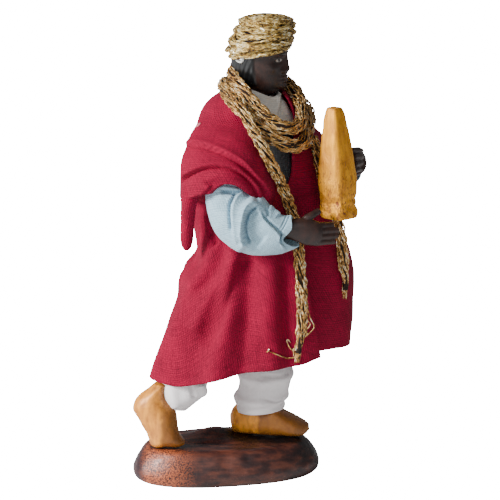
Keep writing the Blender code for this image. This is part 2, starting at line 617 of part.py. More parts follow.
def tube_mesh(points, diameter, count):
    """A round cord through the points that lies on the cloak: a curve with a bevel, made a welded mesh."""
    def make(name, grow):
        curve = bpy.data.curves.new(name, "CURVE")
        curve.dimensions = "3D"
        curve.bevel_depth = diameter / 2 + grow
        curve.bevel_resolution = 2
        curve.use_fill_caps = True
        spline = curve.splines.new("POLY")
        spline.points.add(count - 1)
        knots = [at(*point) for point in points]
        route = [through(knots, i / (count - 1)) for i in range(count)]
        for spot, place in zip(spline.points, laid_on_cloak(route, diameter / 2 + 2 * GAP)):
            spot.co = (*place, 1.0)
        item = bpy.data.objects.new("shape", curve)
        bpy.context.scene.collection.objects.link(item)
        bpy.context.view_layer.update()
        item = baked(item)
        mesh = item.data
        bpy.data.objects.remove(item)
        mesh.name = name
        return mesh
    return make


def build():
    for item in list(bpy.data.objects):
        bpy.data.objects.remove(item)
    parts = new_collection("nativity musician figurine")
    cutters = new_collection("cutters")
    up = Vector((0, 0, 1))
    recipes = {
        "base": (base_mesh, ((0.24, 0.085, 0.05), 0.5)),
        "shoe_right": (shoe_mesh(SHOE_RIGHT), ((0.45, 0.2, 0.05), 0.42)),
        "shoe_left": (shoe_mesh(SHOE_LEFT), ((0.45, 0.2, 0.05), 0.42)),
        "trousers": (trousers_mesh, ((0.68, 0.66, 0.67), 0.9)),
        "tunic": (limb_mesh(TUNIC, LEFT, 16, 7, 2.2), ((0.05, 0.065, 0.075), 0.9)),
        "collar": (collar_mesh, ((0.45, 0.43, 0.38), 0.9)),
        "head": (head_mesh, ((0.035, 0.02, 0.014), 0.35)),
        "turban": (turban_mesh, ((0.55, 0.36, 0.14), 0.35, 0.6)),
        "sleeve_right": (limb_mesh(SLEEVE_RIGHT, Vector((0, 1, 0)), 12, 11), ((0.38, 0.52, 0.6), 0.9)),
        "sleeve_left": (limb_mesh(SLEEVE_LEFT, LEFT, 12, 10), ((0.38, 0.52, 0.6), 0.9)),
        "hand_right": (hand_mesh(HAND_RIGHT_PALM, HAND_RIGHT_FINGERS, up), ((0.035, 0.02, 0.014), 0.35)),
        "hand_left": (hand_mesh(HAND_LEFT_PALM, HAND_LEFT_FINGERS, up), ((0.035, 0.02, 0.014), 0.35)),
        "instrument": (instrument_mesh, ((0.6, 0.3, 0.06), 0.4)),
        "scarf_wound": (tube_mesh(SCARF_WOUND, SCARF_DIAMETER, 36), ((0.55, 0.36, 0.14), 0.35, 0.6)),
        "scarf_end_right": (tube_mesh(SCARF_END_RIGHT, SCARF_END_DIAMETER, 20), ((0.55, 0.36, 0.14), 0.35, 0.6)),
        "scarf_end_left": (tube_mesh(SCARF_END_LEFT, SCARF_END_DIAMETER, 14), ((0.55, 0.36, 0.14), 0.35, 0.6)),
    }
    made = {name: Solid(name, mesh, paint(name, *finish), parts, cutters)
            for name, (mesh, finish) in recipes.items()}
    cloak = add_object("cloak", cloak_mesh("cloak"), parts, paint("cloak", (0.4, 0.01, 0.035), 0.9))
    combine(cloak, [made["sleeve_right"].cutter, made["sleeve_left"].cutter], "DIFFERENCE")

    # What is cut, and the neighbours that it makes room for
    cuts = [("shoe_right", ["base"]), ("shoe_left", ["base"]),
            ("trousers", ["shoe_left", "shoe_right"]), ("tunic", ["head"]),
            ("collar", ["head", "tunic"]), ("turban", ["head"]),
            ("hand_right", ["instrument"]), ("hand_left", ["instrument"]),
            ("sleeve_right", ["hand_right", "tunic"]), ("sleeve_left", ["hand_left", "tunic"]),
            ("scarf_wound", ["collar", "head"]),
            ("scarf_end_right", ["scarf_wound", "sleeve_right", "hand_right"]),
            ("scarf_end_left", ["scarf_wound", "sleeve_left", "instrument", "hand_left"])]
    for name, others in cuts:
        made[name].cut_by(*(made[other] for other in others))


build()
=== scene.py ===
import math
import random

import bmesh
import bpy
import numpy as np
from mathutils import Matrix, Vector, noise
from mathutils.bvhtree import BVHTree


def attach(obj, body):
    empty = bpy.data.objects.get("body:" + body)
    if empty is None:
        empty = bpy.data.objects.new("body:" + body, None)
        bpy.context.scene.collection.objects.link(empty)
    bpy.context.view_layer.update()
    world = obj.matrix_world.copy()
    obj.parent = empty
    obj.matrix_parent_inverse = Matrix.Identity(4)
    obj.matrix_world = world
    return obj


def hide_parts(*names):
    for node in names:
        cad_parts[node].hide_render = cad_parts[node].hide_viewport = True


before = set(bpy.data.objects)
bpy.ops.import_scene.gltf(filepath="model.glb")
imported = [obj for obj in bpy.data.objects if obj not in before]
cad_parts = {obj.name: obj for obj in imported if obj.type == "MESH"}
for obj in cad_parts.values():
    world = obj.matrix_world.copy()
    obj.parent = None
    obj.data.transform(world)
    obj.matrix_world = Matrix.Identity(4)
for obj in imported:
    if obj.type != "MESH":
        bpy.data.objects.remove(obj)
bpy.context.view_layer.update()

MM = 0.001

# Camera, in millimetres; the picture is 500 units wide and high
CAMERA_PLACE = Vector((5.6, -560.0, 180.0))
CAMERA_AIM = Vector((5.6, 0.0, 52.0))
CAMERA_WAY = (CAMERA_AIM - CAMERA_PLACE).normalized()
CAMERA_UP = Vector((1, 0, 0)).cross(CAMERA_WAY)
CAMERA_REACH = 2567.6
PICTURE = 500.0
SENSOR = 36.0
NEAREST_SEEN = 0.01

# The body is turned this far from the stride towards the figure's right
BODY_TURN = math.radians(-28)
FORWARD = Vector((math.cos(BODY_TURN), math.sin(BODY_TURN), 0))
LEFT = Vector((-math.sin(BODY_TURN), math.cos(BODY_TURN), 0))
SIDEWAYS = Vector((1, 0, 0))
UP = Vector((0, 0, 1))

# Pieces of cloth: thickness in millimetres
CLOAK_THICKNESS, COLLAR_THICKNESS, CLOTH_THICKNESS = 0.42, 0.45, 0.4
# Steps of each piece's grid, around and along
STEPS = {"base": (220, 120), "shoe": (72, 96), "trailing_leg": (80, 90), "leading_leg": (90, 100),
         "vest": (110, 110), "collar": (170, 46), "near_sleeve": (130, 170), "far_sleeve": (90, 110),
         "cloak": (225, 196), "cloak_tip": (60, 70), "head": (170, 150), "palm": (32, 24), "finger": (20, 22),
         "instrument": (120, 150), "turban": (90, 70)}
# Steps over which a closed tube's tip is rounded off
ROUNDING_STEPS = 4
# A tube's seam and tips are closed where its corners are nearer than this, in metres
SEAM = 1e-7
# Creases: share of their length in which they fade in and out, and a lap's steepness in picture units
CREASE_FADE = 0.12
LAP_STEP = 2.5
# How far a surface has to be turned to the camera before creases start to show, and show fully
FACING_FROM, FACING_TO = 0.10, 0.42


def placed(name, data):
    """An object with its data, in the scene."""
    item = bpy.data.objects.new(name, data)
    bpy.context.scene.collection.objects.link(item)
    return item


def set_camera():
    """The camera that sees the figure as the photograph does."""
    data = bpy.data.cameras.new("camera")
    data.sensor_width = SENSOR
    data.lens = SENSOR * CAMERA_REACH / PICTURE
    data.clip_start = NEAREST_SEEN
    camera = placed("camera", data)
    camera.location = CAMERA_PLACE * MM
    camera.rotation_euler = CAMERA_WAY.to_track_quat("-Z", "Y").to_euler()
    bpy.context.scene.camera = camera


def seen(place):
    """Where the picture shows a place given in millimetres."""
    away = place - CAMERA_PLACE
    share = CAMERA_REACH / away.dot(CAMERA_WAY)
    return PICTURE / 2 + share * away.x, PICTURE / 2 - share * away.dot(CAMERA_UP)


def towards(spot):
    """Direction from the camera to a spot of the picture."""
    across = (spot[0] - PICTURE / 2) / CAMERA_REACH
    up = (PICTURE / 2 - spot[1]) / CAMERA_REACH
    return (CAMERA_WAY + SIDEWAYS * across + CAMERA_UP * up).normalized()


# Helpers for smooth values
def through(knots, t):
    """Smooth curve through evenly spaced knots, at t from 0 to 1."""
    last = len(knots) - 1
    spot = min(max(t, 0.0), 1.0) * last
    i = min(int(spot), last - 1)
    f = spot - i
    a, b, c, d = (knots[max(0, min(last, i + k))] for k in (-1, 0, 1, 2))
    return 0.5 * (2 * b + (c - a) * f + (2 * a - 5 * b + 4 * c - d) * f * f
                  + (3 * b - a - 3 * c + d) * f ** 3)


def lookup(table, key):
    """Columns of a table at a key between its rows, along a smooth curve."""
    if key <= table[0][0]:
        return table[0][1:]
    if key >= table[-1][0]:
        return table[-1][1:]
    i = 0
    while table[i + 1][0] < key:
        i += 1
    low, high = table[i], table[i + 1]
    before, after = table[max(0, i - 1)], table[min(len(table) - 1, i + 2)]
    span = high[0] - low[0]
    f = (key - low[0]) / span
    f2, f3 = f * f, f ** 3
    back, ahead = span / (high[0] - before[0]), span / (after[0] - low[0])
    return [(2 * f3 - 3 * f2 + 1) * b + (f3 - 2 * f2 + f) * back * (c - a)
            + (3 * f2 - 2 * f3) * c + (f3 - f2) * ahead * (d - b)
            for a, b, c, d in zip(before[1:], low[1:], high[1:], after[1:])]


def ease(value, start, end):
    """0 before start, 1 after end, smooth between."""
    f = min(max((value - start) / (end - start), 0.0), 1.0)
    return f * f * (3 - 2 * f)


def bump(value, centre, width):
    """A smooth hump of height 1."""
    return math.exp(-((value - centre) / width) ** 2)


def grain(place, size, seed=0):
    """Smooth noise from -1 to 1 with spots of a size."""
    return noise.noise(Vector((place[0] / size + seed * 7.3, place[1] / size, place[2] / size)))


def oval(angle, square):
    """Cosine and sine of an angle, and how far an oval of this squareness reaches there."""
    c, s = math.cos(angle), math.sin(angle)
    return c, s, (abs(c) ** square + abs(s) ** square) ** (-1 / square)


# Helpers for pieces
def finished(name, bm, material, slot, *nodes):
    """Makes an object from a bmesh with its material, and says what it rides on and replaces; its slot is not
    used.
    """
    mesh = bpy.data.meshes.new(name)
    bm.to_mesh(mesh)
    bm.free()
    mesh.shade_smooth()
    mesh.materials.append(material)
    item = placed(name, mesh)
    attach(item, "root")
    if nodes:
        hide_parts(*nodes)
    return item


def surface(point, steps, tube=False, caps=False):
    """A grid over point(u, v) in millimetres. Its UV map is the cloth's own length and width."""
    around, along = steps
    bm = bmesh.new()
    bmesh.ops.create_grid(bm, x_segments=around, y_segments=along, size=0.5)
    spots = {}
    for vert in bm.verts:
        spot = (round((vert.co.x + 0.5) * around), round((vert.co.y + 0.5) * along))
        spots[spot] = vert
        vert.co = Vector(point(spot[0] / around, spot[1] / along)) * MM
    cloth = {}
    for j in range(along + 1):
        for i in range(around + 1):
            run = (spots[i, j].co - spots[i - 1, j].co).length / MM + cloth[i - 1, j][0] if i else 0.0
            fall = (spots[i, j].co - spots[i, j - 1].co).length / MM + cloth[i, j - 1][1] if j else 0.0
            cloth[i, j] = (run, fall)
    layer = bm.loops.layers.uv.new("cloth")
    numbers = {vert: spot for spot, vert in spots.items()}
    for face in bm.faces:
        for loop in face.loops:
            loop[layer].uv = cloth[numbers[loop.vert]]
    if tube:
        bmesh.ops.remove_doubles(bm, verts=bm.verts[:], dist=SEAM)
        if caps:
            bmesh.ops.holes_fill(bm, edges=[edge for edge in bm.edges if edge.is_boundary], sides=0)
        bmesh.ops.recalc_face_normals(bm, faces=bm.faces[:])
    return bm


def walled(item, thickness):
    """Gives a sheet of cloth its thickness, inwards."""
    wall = item.modifiers.new("cloth", "SOLIDIFY")
    wall.thickness = thickness * MM
    wall.offset = -1.0
    return item


def loft(stations, steps, square=2.0, swell=None, closed=True):
    """A body through oval sections, each a centre and two half-axes, with tips rounded off or open."""
    centres, firsts, seconds = zip(*stations)
    along = steps[1]
    extra = ROUNDING_STEPS if closed else 0
    total = along + 2 * extra

    def point(u, v):
        spot = min(max((v * total - extra) / along, 0.0), 1.0)
        shrink = 1.0
        if closed:
            outer = max(extra - v * total, v * total - along - extra, 0.0)
            shrink = math.sqrt(max(0.0, 1 - (outer / extra) ** 2)) if outer < extra else 0.0
        first, second = through(firsts, spot), through(seconds, spot)
        c, s, soft = oval(math.tau * u, square)
        place = through(centres, spot) + (first * c + second * s) * soft * shrink
        if swell and shrink:
            place = place + (first * c + second * s).normalized() * swell(place, math.tau * u, spot) * shrink
        return place

    return surface(point, (steps[0], total), tube=True, caps=closed)


def limb_stations(points, across):
    """Stations of a limb: each point is x, y, z, half-width across and half-width the other way."""
    places = [Vector(point[:3]) for point in points]
    stations = []
    for i, point in enumerate(points):
        way = (places[min(i + 1, len(places) - 1)] - places[max(i - 1, 0)]).normalized()
        side = (across - way * across.dot(way)).normalized()
        stations.append((places[i], side * point[3], way.cross(side) * point[4]))
    return stations


def baked(item):
    """Applies the modifiers that an object has."""
    bpy.context.view_layer.update()
    mesh = bpy.data.meshes.new_from_object(item.evaluated_get(bpy.context.evaluated_depsgraph_get()))
    item.modifiers.clear()
    item.data = mesh
    mesh.shade_smooth()
    return item


def away_from(line, spots):
    """Signed distance of each spot from a smooth line drawn on the picture, and how far along it is.

    The distance is positive on the right of the line's travel.
    """
    knots = [Vector(knot) for knot in line]
    count = 8 * (len(knots) - 1)
    path = np.array([through(knots, i / count)[:] for i in range(count + 1)])
    steps = path[1:] - path[:-1]
    lengths = np.maximum((steps ** 2).sum(1), 1e-9)
    best = np.full(len(spots), 1e9)
    along = np.zeros(len(spots))
    for i, step in enumerate(steps):
        off = spots - path[i]
        t = np.clip((off @ step) / lengths[i], 0, 1)
        rest = off - t[:, None] * step
        gap = np.hypot(rest[:, 0], rest[:, 1])
        side = np.where(step[0] * off[:, 1] - step[1] * off[:, 0] >= 0, 1.0, -1.0)
        nearer = gap < np.abs(best)
        best = np.where(nearer, gap * side, best)
        along = np.where(nearer, (i + t) / len(steps), along)
    return best, along


def smooth_step(value):
    value = np.clip(value, 0, 1)
    return value * value * (3 - 2 * value)


def creased(bm, creases):
    """Presses creases, drawn on the picture, into the side of a surface that the camera sees.

    Each crease is a kind, a depth in millimetres, a width in picture units and its line. A groove is
    narrow, a ridge stands out, and a lap lifts the cloth on the right of the line.
    """
    bm.normal_update()
    verts = bm.verts[:]
    places = [vert.co / MM for vert in verts]
    spots = np.array([seen(place) for place in places])
    turned = np.array([-vert.normal.dot(CAMERA_WAY) for vert in verts])
    facing = smooth_step((turned - FACING_FROM) / (FACING_TO - FACING_FROM))
    lift = np.zeros(len(verts))
    for kind, depth, width, line in creases:
        gap, along = away_from(line, spots)
        ends = smooth_step(along / CREASE_FADE + 0.05) * smooth_step((1 - along) / CREASE_FADE + 0.05)
        if kind == "groove":
            shape = -np.exp(-(gap / width) ** 2)
        elif kind == "ridge":
            shape = np.exp(-(gap / width) ** 2)
        else:
            shape = smooth_step(gap / LAP_STEP + 0.5) * np.exp(-np.maximum(gap, 0) / width)
        lift += depth * shape * ends
    for vert, rise in zip(verts, lift * facing):
        vert.co += vert.normal * (float(rise) * MM)
    bm.normal_update()
    return bm


# Shader node groups
def new_group(name, inputs, outputs):
    """A node group with its sockets: each is a name, a kind and a first value."""
    group = bpy.data.node_groups.new(name, "ShaderNodeTree")
    for way, sockets in (("INPUT", inputs), ("OUTPUT", outputs)):
        for label, kind, value in sockets:
            socket = group.interface.new_socket(label, in_out=way, socket_type="NodeSocket" + kind)
            if value is not None:
                socket.default_value = value
    return group, group.nodes.new("NodeGroupInput"), group.nodes.new("NodeGroupOutput")


def node(tree, kind, values=None, **settings):
    """A node with its settings, and its inputs given as numbers or links."""
    made = tree.nodes.new("ShaderNode" + kind)
    for key, value in settings.items():
        setattr(made, key, value)
    for key, value in (values or {}).items():
        if isinstance(value, bpy.types.NodeSocket):
            tree.links.new(value, made.inputs[key])
        else:
            made.inputs[key].default_value = value
    return made


def maths(tree, operation, *values):
    """The result of a Math node."""
    return node(tree, "Math", dict(enumerate(values)), operation=operation).outputs[0]


def times(tree, *values):
    return maths(tree, "MULTIPLY", *values)


def plus(tree, *values):
    return maths(tree, "ADD", *values)


def minus(tree, *values):
    return maths(tree, "SUBTRACT", *values)


def stretched(tree, vector, factors):
    """A vector times another."""
    return node(tree, "VectorMath", {0: vector, 1: factors}, operation="MULTIPLY").outputs[0]


def clouds(tree, place, scale, detail=2.0, **more):
    """Smooth noise by place."""
    return node(tree, "TexNoise", {"Vector": place, "Scale": scale, "Detail": detail, **more}).outputs["Fac"]


def ranged(tree, value, start, end):
    """0 at start, 1 at end and between them in proportion."""
    return node(tree, "MapRange", {"Value": value, "From Min": start, "From Max": end}).outputs[0]


def stored(tree, label):
    """A value that the piece's own mesh carries."""
    return node(tree, "Attribute", attribute_name=label).outputs["Fac"]


def fed(tree, sockets, **values):
    """Links values to sockets by their labels."""
    for label, value in values.items():
        tree.links.new(value, sockets[label.replace("_", " ")])


def ramp(tree, value, stops):
    """A colour ramp over a value: each stop is a place and a colour."""
    made = node(tree, "ValToRGB", {"Fac": value})
    points = made.color_ramp.elements
    while len(points) < len(stops):
        points.new(0.5)
    for point, (place, colour) in zip(points, stops):
        point.position = place
        point.color = (*colour, 1.0) if len(colour) == 3 else colour
    return made.outputs["Color"]


def mixed(tree, factor, first, second, blend="MIX"):
    """Two colours mixed by a factor."""
    made = node(tree, "Mix", data_type="RGBA", blend_type=blend)
    for index, value in ((0, factor), (6, first), (7, second)):
        if isinstance(value, bpy.types.NodeSocket):
            tree.links.new(value, made.inputs[index])
        else:
            made.inputs[index].default_value = value if index == 0 else (*value[:3], 1.0)
    return made.outputs[2]


def weave_group():
    """Plain weave on the cloth's own map: its threads' height and their uneven tone, dimmed in the gaps between
    threads as painted shade.
    """
    group, given, put = new_group(
        "plain_weave",
        [("Cloth", "Vector", None), ("Pitch", "Float", 0.5), ("Slub", "Float", 0.5)],
        [("Height", "Float", None), ("Tone", "Float", None)])
    cloth = given.outputs["Cloth"]
    drift = node(group, "TexNoise", {"Vector": cloth, "Scale": 0.35, "Detail": 2.0}).outputs["Color"]
    bent = stretched(group, drift, (0.55, 0.55, 0.0))
    moved = node(group, "VectorMath", {0: cloth, 1: bent}, operation="ADD").outputs[0]
    waves = []
    for across in node(group, "SeparateXYZ", {0: moved}).outputs[:2]:
        turns = maths(group, "DIVIDE", across, given.outputs["Pitch"])
        waves.append(maths(group, "SINE", times(group, turns, math.pi)))
    ribs = plus(group, *(times(group, wave, wave) for wave in waves))
    height = plus(group, times(group, times(group, *waves), 0.14), times(group, ribs, 0.3))
    tones = [clouds(group, stretched(group, cloth, threads), 1.0)
             for threads in ((0.25, 3.2, 1.0), (3.2, 0.25, 1.0))]
    slubs = times(group, minus(group, plus(group, *tones), 1.0), given.outputs["Slub"])
    # Tone is lighter on the threads' tops and lower in the gaps: painted shade, plus uneven slubs
    fed(group, put.inputs, Height=plus(group, height, times(group, slubs, 0.5)),
        Tone=plus(group, plus(group, times(group, height, 0.45), 0.36), slubs))
    return group


def brushed_group():
    """Paint brushed on clay: uneven tone, small specks and a rough height, by place on the object."""
    group, given, put = new_group(
        "brushed_clay", [("Place", "Vector", None), ("Streak", "Vector", (1.0, 1.0, 1.0))],
        [("Tone", "Float", None), ("Speck", "Float", None), ("Height", "Float", None)])
    place = given.outputs["Place"]
    broad = clouds(group, place, 0.22, 4.0)
    streaks = clouds(group, stretched(group, place, given.outputs["Streak"]), 1.0, 4.0)
    specks = clouds(group, place, 3.2, 3.0, Roughness=0.7)
    fed(group, put.inputs, Tone=plus(group, times(group, broad, 0.5), times(group, streaks, 0.5)), Speck=specks,
        Height=plus(group, times(group, specks, 0.4), streaks))
    return group


def new_material(name, colour, roughness, metallic=0.0, **constants):
    """A material with its shader, and constants set on the shader's own sockets."""
    material = bpy.data.materials.new(name)
    material.use_nodes = True
    material.diffuse_color = (*colour, 1.0)
    tree = material.node_tree
    shader = tree.nodes["Principled BSDF"]
    shader.inputs["Base Color"].default_value = (*colour, 1.0)
    shader.inputs["Roughness"].default_value = roughness
    shader.inputs["Metallic"].default_value = metallic
    for label, value in constants.items():
        shader.inputs[label.replace("_", " ")].default_value = value
    return material, tree, shader


def raised(tree, shader, height, strength, distance):
    """Feeds a height to the shader's normal."""
    made = node(tree, "Bump", {"Height": height, "Strength": strength, "Distance": distance * MM})
    tree.links.new(made.outputs["Normal"], shader.inputs["Normal"])


def object_place(tree):
    """The place on the object, in millimetres."""
    return stretched(tree, node(tree, "TexCoord").outputs["Object"], (1 / MM,) * 3)


def cloth_material(name, weave, light, dark, pitch, slub, depth, sheen=0.25):
    """Woven cotton, its colour a little uneven in broad patches, with painted shade in the gaps of the weave.
    """
    material, tree, shader = new_material(name, light, 0.9, Sheen_Weight=sheen, Sheen_Roughness=0.5,
                                          Specular_IOR_Level=0.25)
    cloth = node(tree, "UVMap", uv_map="cloth").outputs["UV"]
    threads = node(tree, "Group", {"Cloth": cloth, "Pitch": pitch, "Slub": slub}, node_tree=weave)
    worn = times(tree, minus(tree, clouds(tree, object_place(tree), 0.12, 3.0), 0.5), 0.35)
    tone = plus(tree, threads.outputs["Tone"], worn)
    fed(tree, shader.inputs, Base_Color=ramp(tree, tone, [(0.15, dark), (0.8, light)]))
    raised(tree, shader, threads.outputs["Height"], 0.6, depth)
    return material


def shoe_material(brushed):
    """Gold paint with brush streaks, and painted shade on the side turned from the light where the shoe's mesh
    says so.
    """
    light, dark, rough = (0.92, 0.36, 0.035), (0.42, 0.14, 0.018), 0.42
    material, tree, shader = new_material("shoe_gold", light, rough, 0.1)
    clay = node(tree, "Group", {"Place": object_place(tree), "Streak": (1, 1, 0.4)}, node_tree=brushed)
    paint = ramp(tree, clay.outputs["Tone"], [(0.36, dark), (0.6, light)])
    shade = tuple(channel * 0.4 for channel in dark)
    # Painted shade: the side of the shoe turned from the light is mixed towards a dark shade colour
    fed(tree, shader.inputs, Base_Color=mixed(tree, times(tree, stored(tree, "painted_shade"), 0.85), paint, shade),
        Roughness=plus(tree, times(tree, clay.outputs["Speck"], 0.25), rough - 0.1))
    raised(tree, shader, clay.outputs["Height"], 0.5, 0.08)
    return material


# Painted contact shadow, near black, pooled round each shoe: middle, and reach along and across
CONTACT_SHADOW_POOLS = [((10.6, 2.4, 0.0), (11.4, 6.0)), ((-12.4, -5.2, 0.0), (4.7, 2.9))]


def base_material(brushed):
    """Dark glaze rubbed over copper, with coppery specks on its near left, and painted contact shadow round
    each shoe.
    """
    material, tree, shader = new_material("base_clay", (0.16, 0.05, 0.03), 0.42)
    place = object_place(tree)
    clay = node(tree, "Group", {"Place": place, "Streak": (0.16, 0.6, 0.9)}, node_tree=brushed)
    speck = clay.outputs["Speck"]
    x, y, _ = node(tree, "SeparateXYZ", {0: place}).outputs
    tip = ranged(tree, x, -17.5, -19.5)
    patch = times(tree, ranged(tree, x, -6.0, -13.0), ranged(tree, y, 0.0, -5.0))
    patch = times(tree, patch, minus(tree, 1.0, tip))
    shown = ramp(tree, clay.outputs["Tone"], [(0.36, (0.010, 0.004, 0.005)), (0.48, (0.036, 0.010, 0.008)),
                                              (0.62, (0.115, 0.032, 0.018))])
    shown = mixed(tree, times(tree, patch, ranged(tree, speck, 0.46, 0.54)), shown, (0.50, 0.125, 0.045))
    shown = mixed(tree, times(tree, tip, 0.7), shown, (0.03, 0.014, 0.02))
    # Painted contact shadow: near black round each shoe
    for middle, (long, wide) in CONTACT_SHADOW_POOLS:
        off = node(tree, "VectorMath", {0: place, 1: middle}, operation="SUBTRACT").outputs[0]
        off = stretched(tree, off, (1 / long, 1 / wide, 0.0))
        away = node(tree, "VectorMath", {0: off}, operation="LENGTH").outputs["Value"]
        shown = mixed(tree, times(tree, ranged(tree, away, 1.08, 0.92), 0.9), shown, (0.004, 0.0025, 0.003))
    fed(tree, shader.inputs, Base_Color=shown, Roughness=minus(tree, 0.55, times(tree, speck, 0.3)))
    raised(tree, shader, clay.outputs["Height"], 0.6, 0.12)
    return material


def gold_material(name, shades):
    """Knitted metallic thread of gold, copper and silver, with painted highlights, and painted shade between
    the stitches.
    """
    material, tree, shader = new_material(name, shades[2], 0.4, 0.5)
    strand = node(tree, "UVMap", uv_map="cloth").outputs["UV"]
    painted_glints = clouds(tree, stretched(tree, strand, (2.2, 1.1, 1.0)), 1.0, 3.0, Roughness=0.6)
    broad = clouds(tree, object_place(tree), 0.45, 1.0)
    tone = plus(tree, painted_glints, times(tree, minus(tree, broad, 0.5), 0.3))
    colour = ramp(tree, tone, list(zip((0.37, 0.45, 0.54, 0.61, 0.67), shades)))
    pale = mixed(tree, stored(tree, "silver"), colour, (0.62, 0.62, 0.58))
    # Marked inner: near black, painted shade inside the cord
    inner = stored(tree, "inner")
    dull = plus(tree, minus(tree, 0.72, times(tree, painted_glints, 0.75)), times(tree, inner, 0.4))
    fed(tree, shader.inputs, Base_Color=mixed(tree, inner, pale, (0.025, 0.012, 0.006)), Roughness=dull)
    raised(tree, shader, clouds(tree, stretched(tree, strand, (6.0, 4.0, 1.0)), 1.0), 0.9, 0.2)
    return material


def head_material(brushed):
    """Dark brown paint, with glossy black hair where the head's mesh says so."""
    material, tree, shader = new_material("skin_paint", (0.03, 0.012, 0.008), 0.38)
    clay = node(tree, "Group", {"Place": object_place(tree)}, node_tree=brushed)
    shown = ramp(tree, clay.outputs["Tone"], [(0.35, (0.011, 0.005, 0.004)), (0.62, (0.036, 0.013, 0.0085))])
    hair = stored(tree, "hair")
    for share, colour in ((times(tree, stored(tree, "lips"), 0.5), (0.075, 0.026, 0.020)),
                          (hair, (0.0045, 0.005, 0.0055)), (stored(tree, "white"), (0.50, 0.46, 0.42))):
        shown = mixed(tree, share, shown, colour)
    fed(tree, shader.inputs, Base_Color=shown, Roughness=minus(tree, 0.40, times(tree, hair, 0.12)))
    raised(tree, shader, clay.outputs["Height"], 0.35, 0.05)
    return material


def instrument_material(brushed):
    """Gold paint, worn coppery in the creases of the foot."""
    material, tree, shader = new_material("instrument_gold", (0.62, 0.33, 0.08), 0.5, 0.35,
                                          Specular_IOR_Level=0.25)
    place = object_place(tree)
    clay = node(tree, "Group", {"Place": place, "Streak": (1.3, 1.3, 0.14)}, node_tree=brushed)
    gold = ramp(tree, clay.outputs["Tone"], [(0.36, (0.52, 0.20, 0.02)), (0.6, (0.90, 0.40, 0.018))])
    foot = ranged(tree, node(tree, "SeparateXYZ", {0: place}).outputs[2], 80.0, 66.0)
    creases = clouds(tree, stretched(tree, place, (1.0, 1.0, 0.6)), 1.5, 4.0, Distortion=1.2)
    worn = times(tree, foot, ranged(tree, creases, 0.5, 0.66))
    fed(tree, shader.inputs, Base_Color=mixed(tree, worn, gold, (0.26, 0.085, 0.028)))
    wrinkled = plus(tree, clay.outputs["Height"], times(tree, creases, plus(tree, foot, 0.25)))
    raised(tree, shader, wrinkled, 0.8, 0.22)
    return material


# Base: its size, turn and squareness, the share of its grid that is its side, and the height and reach of
# that side, both as shares
BASE_LENGTH, BASE_WIDTH, BASE_HEIGHT = 42.4, 23.6, 8.0
BASE_TURN = math.radians(10)
BASE_SQUARE = 2.3
BASE_SIDE = 0.62
BASE_PROFILE = [
    (0.0, 0.930), (0.08, 0.975), (0.28, 1.0), (0.55, 0.965), (0.80, 0.905), (0.94, 0.850), (1.0, 0.780)]
# Swellings of its top: height, middle and reach along, middle and reach across
BASE_TOP = [(1.7, -2.5, 5.5, 3.6, 3.6), (-0.5, -2.0, 7.0, -3.6, 1.3)]


def make_base(material):
    """Oval clay base, uneven from being pressed by hand, with a low mound behind the trailing foot."""
    turn = Vector((math.cos(BASE_TURN), math.sin(BASE_TURN), 0))
    across = Vector((-turn.y, turn.x, 0))
    rows = [(k / (len(BASE_PROFILE) - 1), *row) for k, row in enumerate(BASE_PROFILE)]

    def point(u, v):
        angle = math.tau * u
        inner = max(0.0, (v - BASE_SIDE) / (1 - BASE_SIDE))
        height, share = lookup(rows, min(v / BASE_SIDE, 1.0))
        uneven = 1 + 0.018 * math.sin(2 * angle + 0.7) + 0.012 * math.sin(3 * angle + 2.1)
        c, s, soft = oval(angle, BASE_SQUARE)
        share *= 1 - inner
        place = (turn * (c * soft * BASE_LENGTH / 2) + across * (s * soft * BASE_WIDTH / 2)) * share * uneven
        place.z = height * BASE_HEIGHT
        if 0.03 < v:
            lump = 0.16 * grain(place, 3.0) + 0.07 * grain(place, 1.1, 2)
            if inner > 0:
                swelling = sum(rise * bump(place.x, x, long) * bump(place.y, y, wide)
                               for rise, x, long, y, wide in BASE_TOP)
                place.z += lump * 0.6 * ease(inner, 0.0, 0.3) + swelling * ease(inner, 0.05, 0.5)
            else:
                chip = bump(place.x, -1.2, 2.6) * bump(place.z, 1.0, 0.9) * (1 if place.y < 0 else 0)
                place += Vector((place.x, place.y, 0)).normalized() * (lump - 0.5 * chip)
        return place

    bm = surface(point, STEPS["base"], tube=True, caps=True)
    return finished("clay_base", bm, material, "base_clay", "base")


# Shoes: sole x, sole z, top x, top z, half-width, y
SHOE_RIGHT = [
    (-9.2, 8.9, -9.0, 9.7, 1.3, -7.0), (-10.6, 8.3, -9.9, 11.0, 2.7, -7.0),
    (-13.2, 8.3, -10.5, 13.0, 3.6, -6.9), (-16.3, 8.4, -10.7, 15.3, 3.8, -6.7),
    (-17.8, 11.6, -11.2, 17.4, 3.5, -6.4), (-19.7, 14.8, -12.2, 18.6, 3.3, -6.1),
    (-20.7, 17.2, -12.9, 19.6, 3.2, -5.9), (-19.8, 19.5, -13.0, 20.9, 3.0, -5.7),
    (-17.4, 21.4, -12.5, 22.0, 2.7, -5.5), (-15.9, 22.6, -11.8, 22.8, 2.4, -5.4)]
SHOE_LEFT = [
    (1.2, 10.0, 1.0, 12.0, 1.7, 5.0), (1.9, 8.5, 2.0, 14.2, 2.9, 4.7), (4.2, 8.3, 4.4, 15.6, 3.4, 4.1),
    (7.6, 8.3, 7.8, 16.2, 3.6, 3.2), (10.8, 8.3, 10.9, 15.6, 4.0, 2.5), (13.6, 8.3, 13.4, 13.9, 4.3, 2.3),
    (16.0, 8.3, 15.8, 12.6, 4.1, 2.5), (18.0, 8.5, 17.8, 11.5, 3.0, 2.9), (19.2, 9.4, 19.1, 10.5, 1.3, 3.2)]


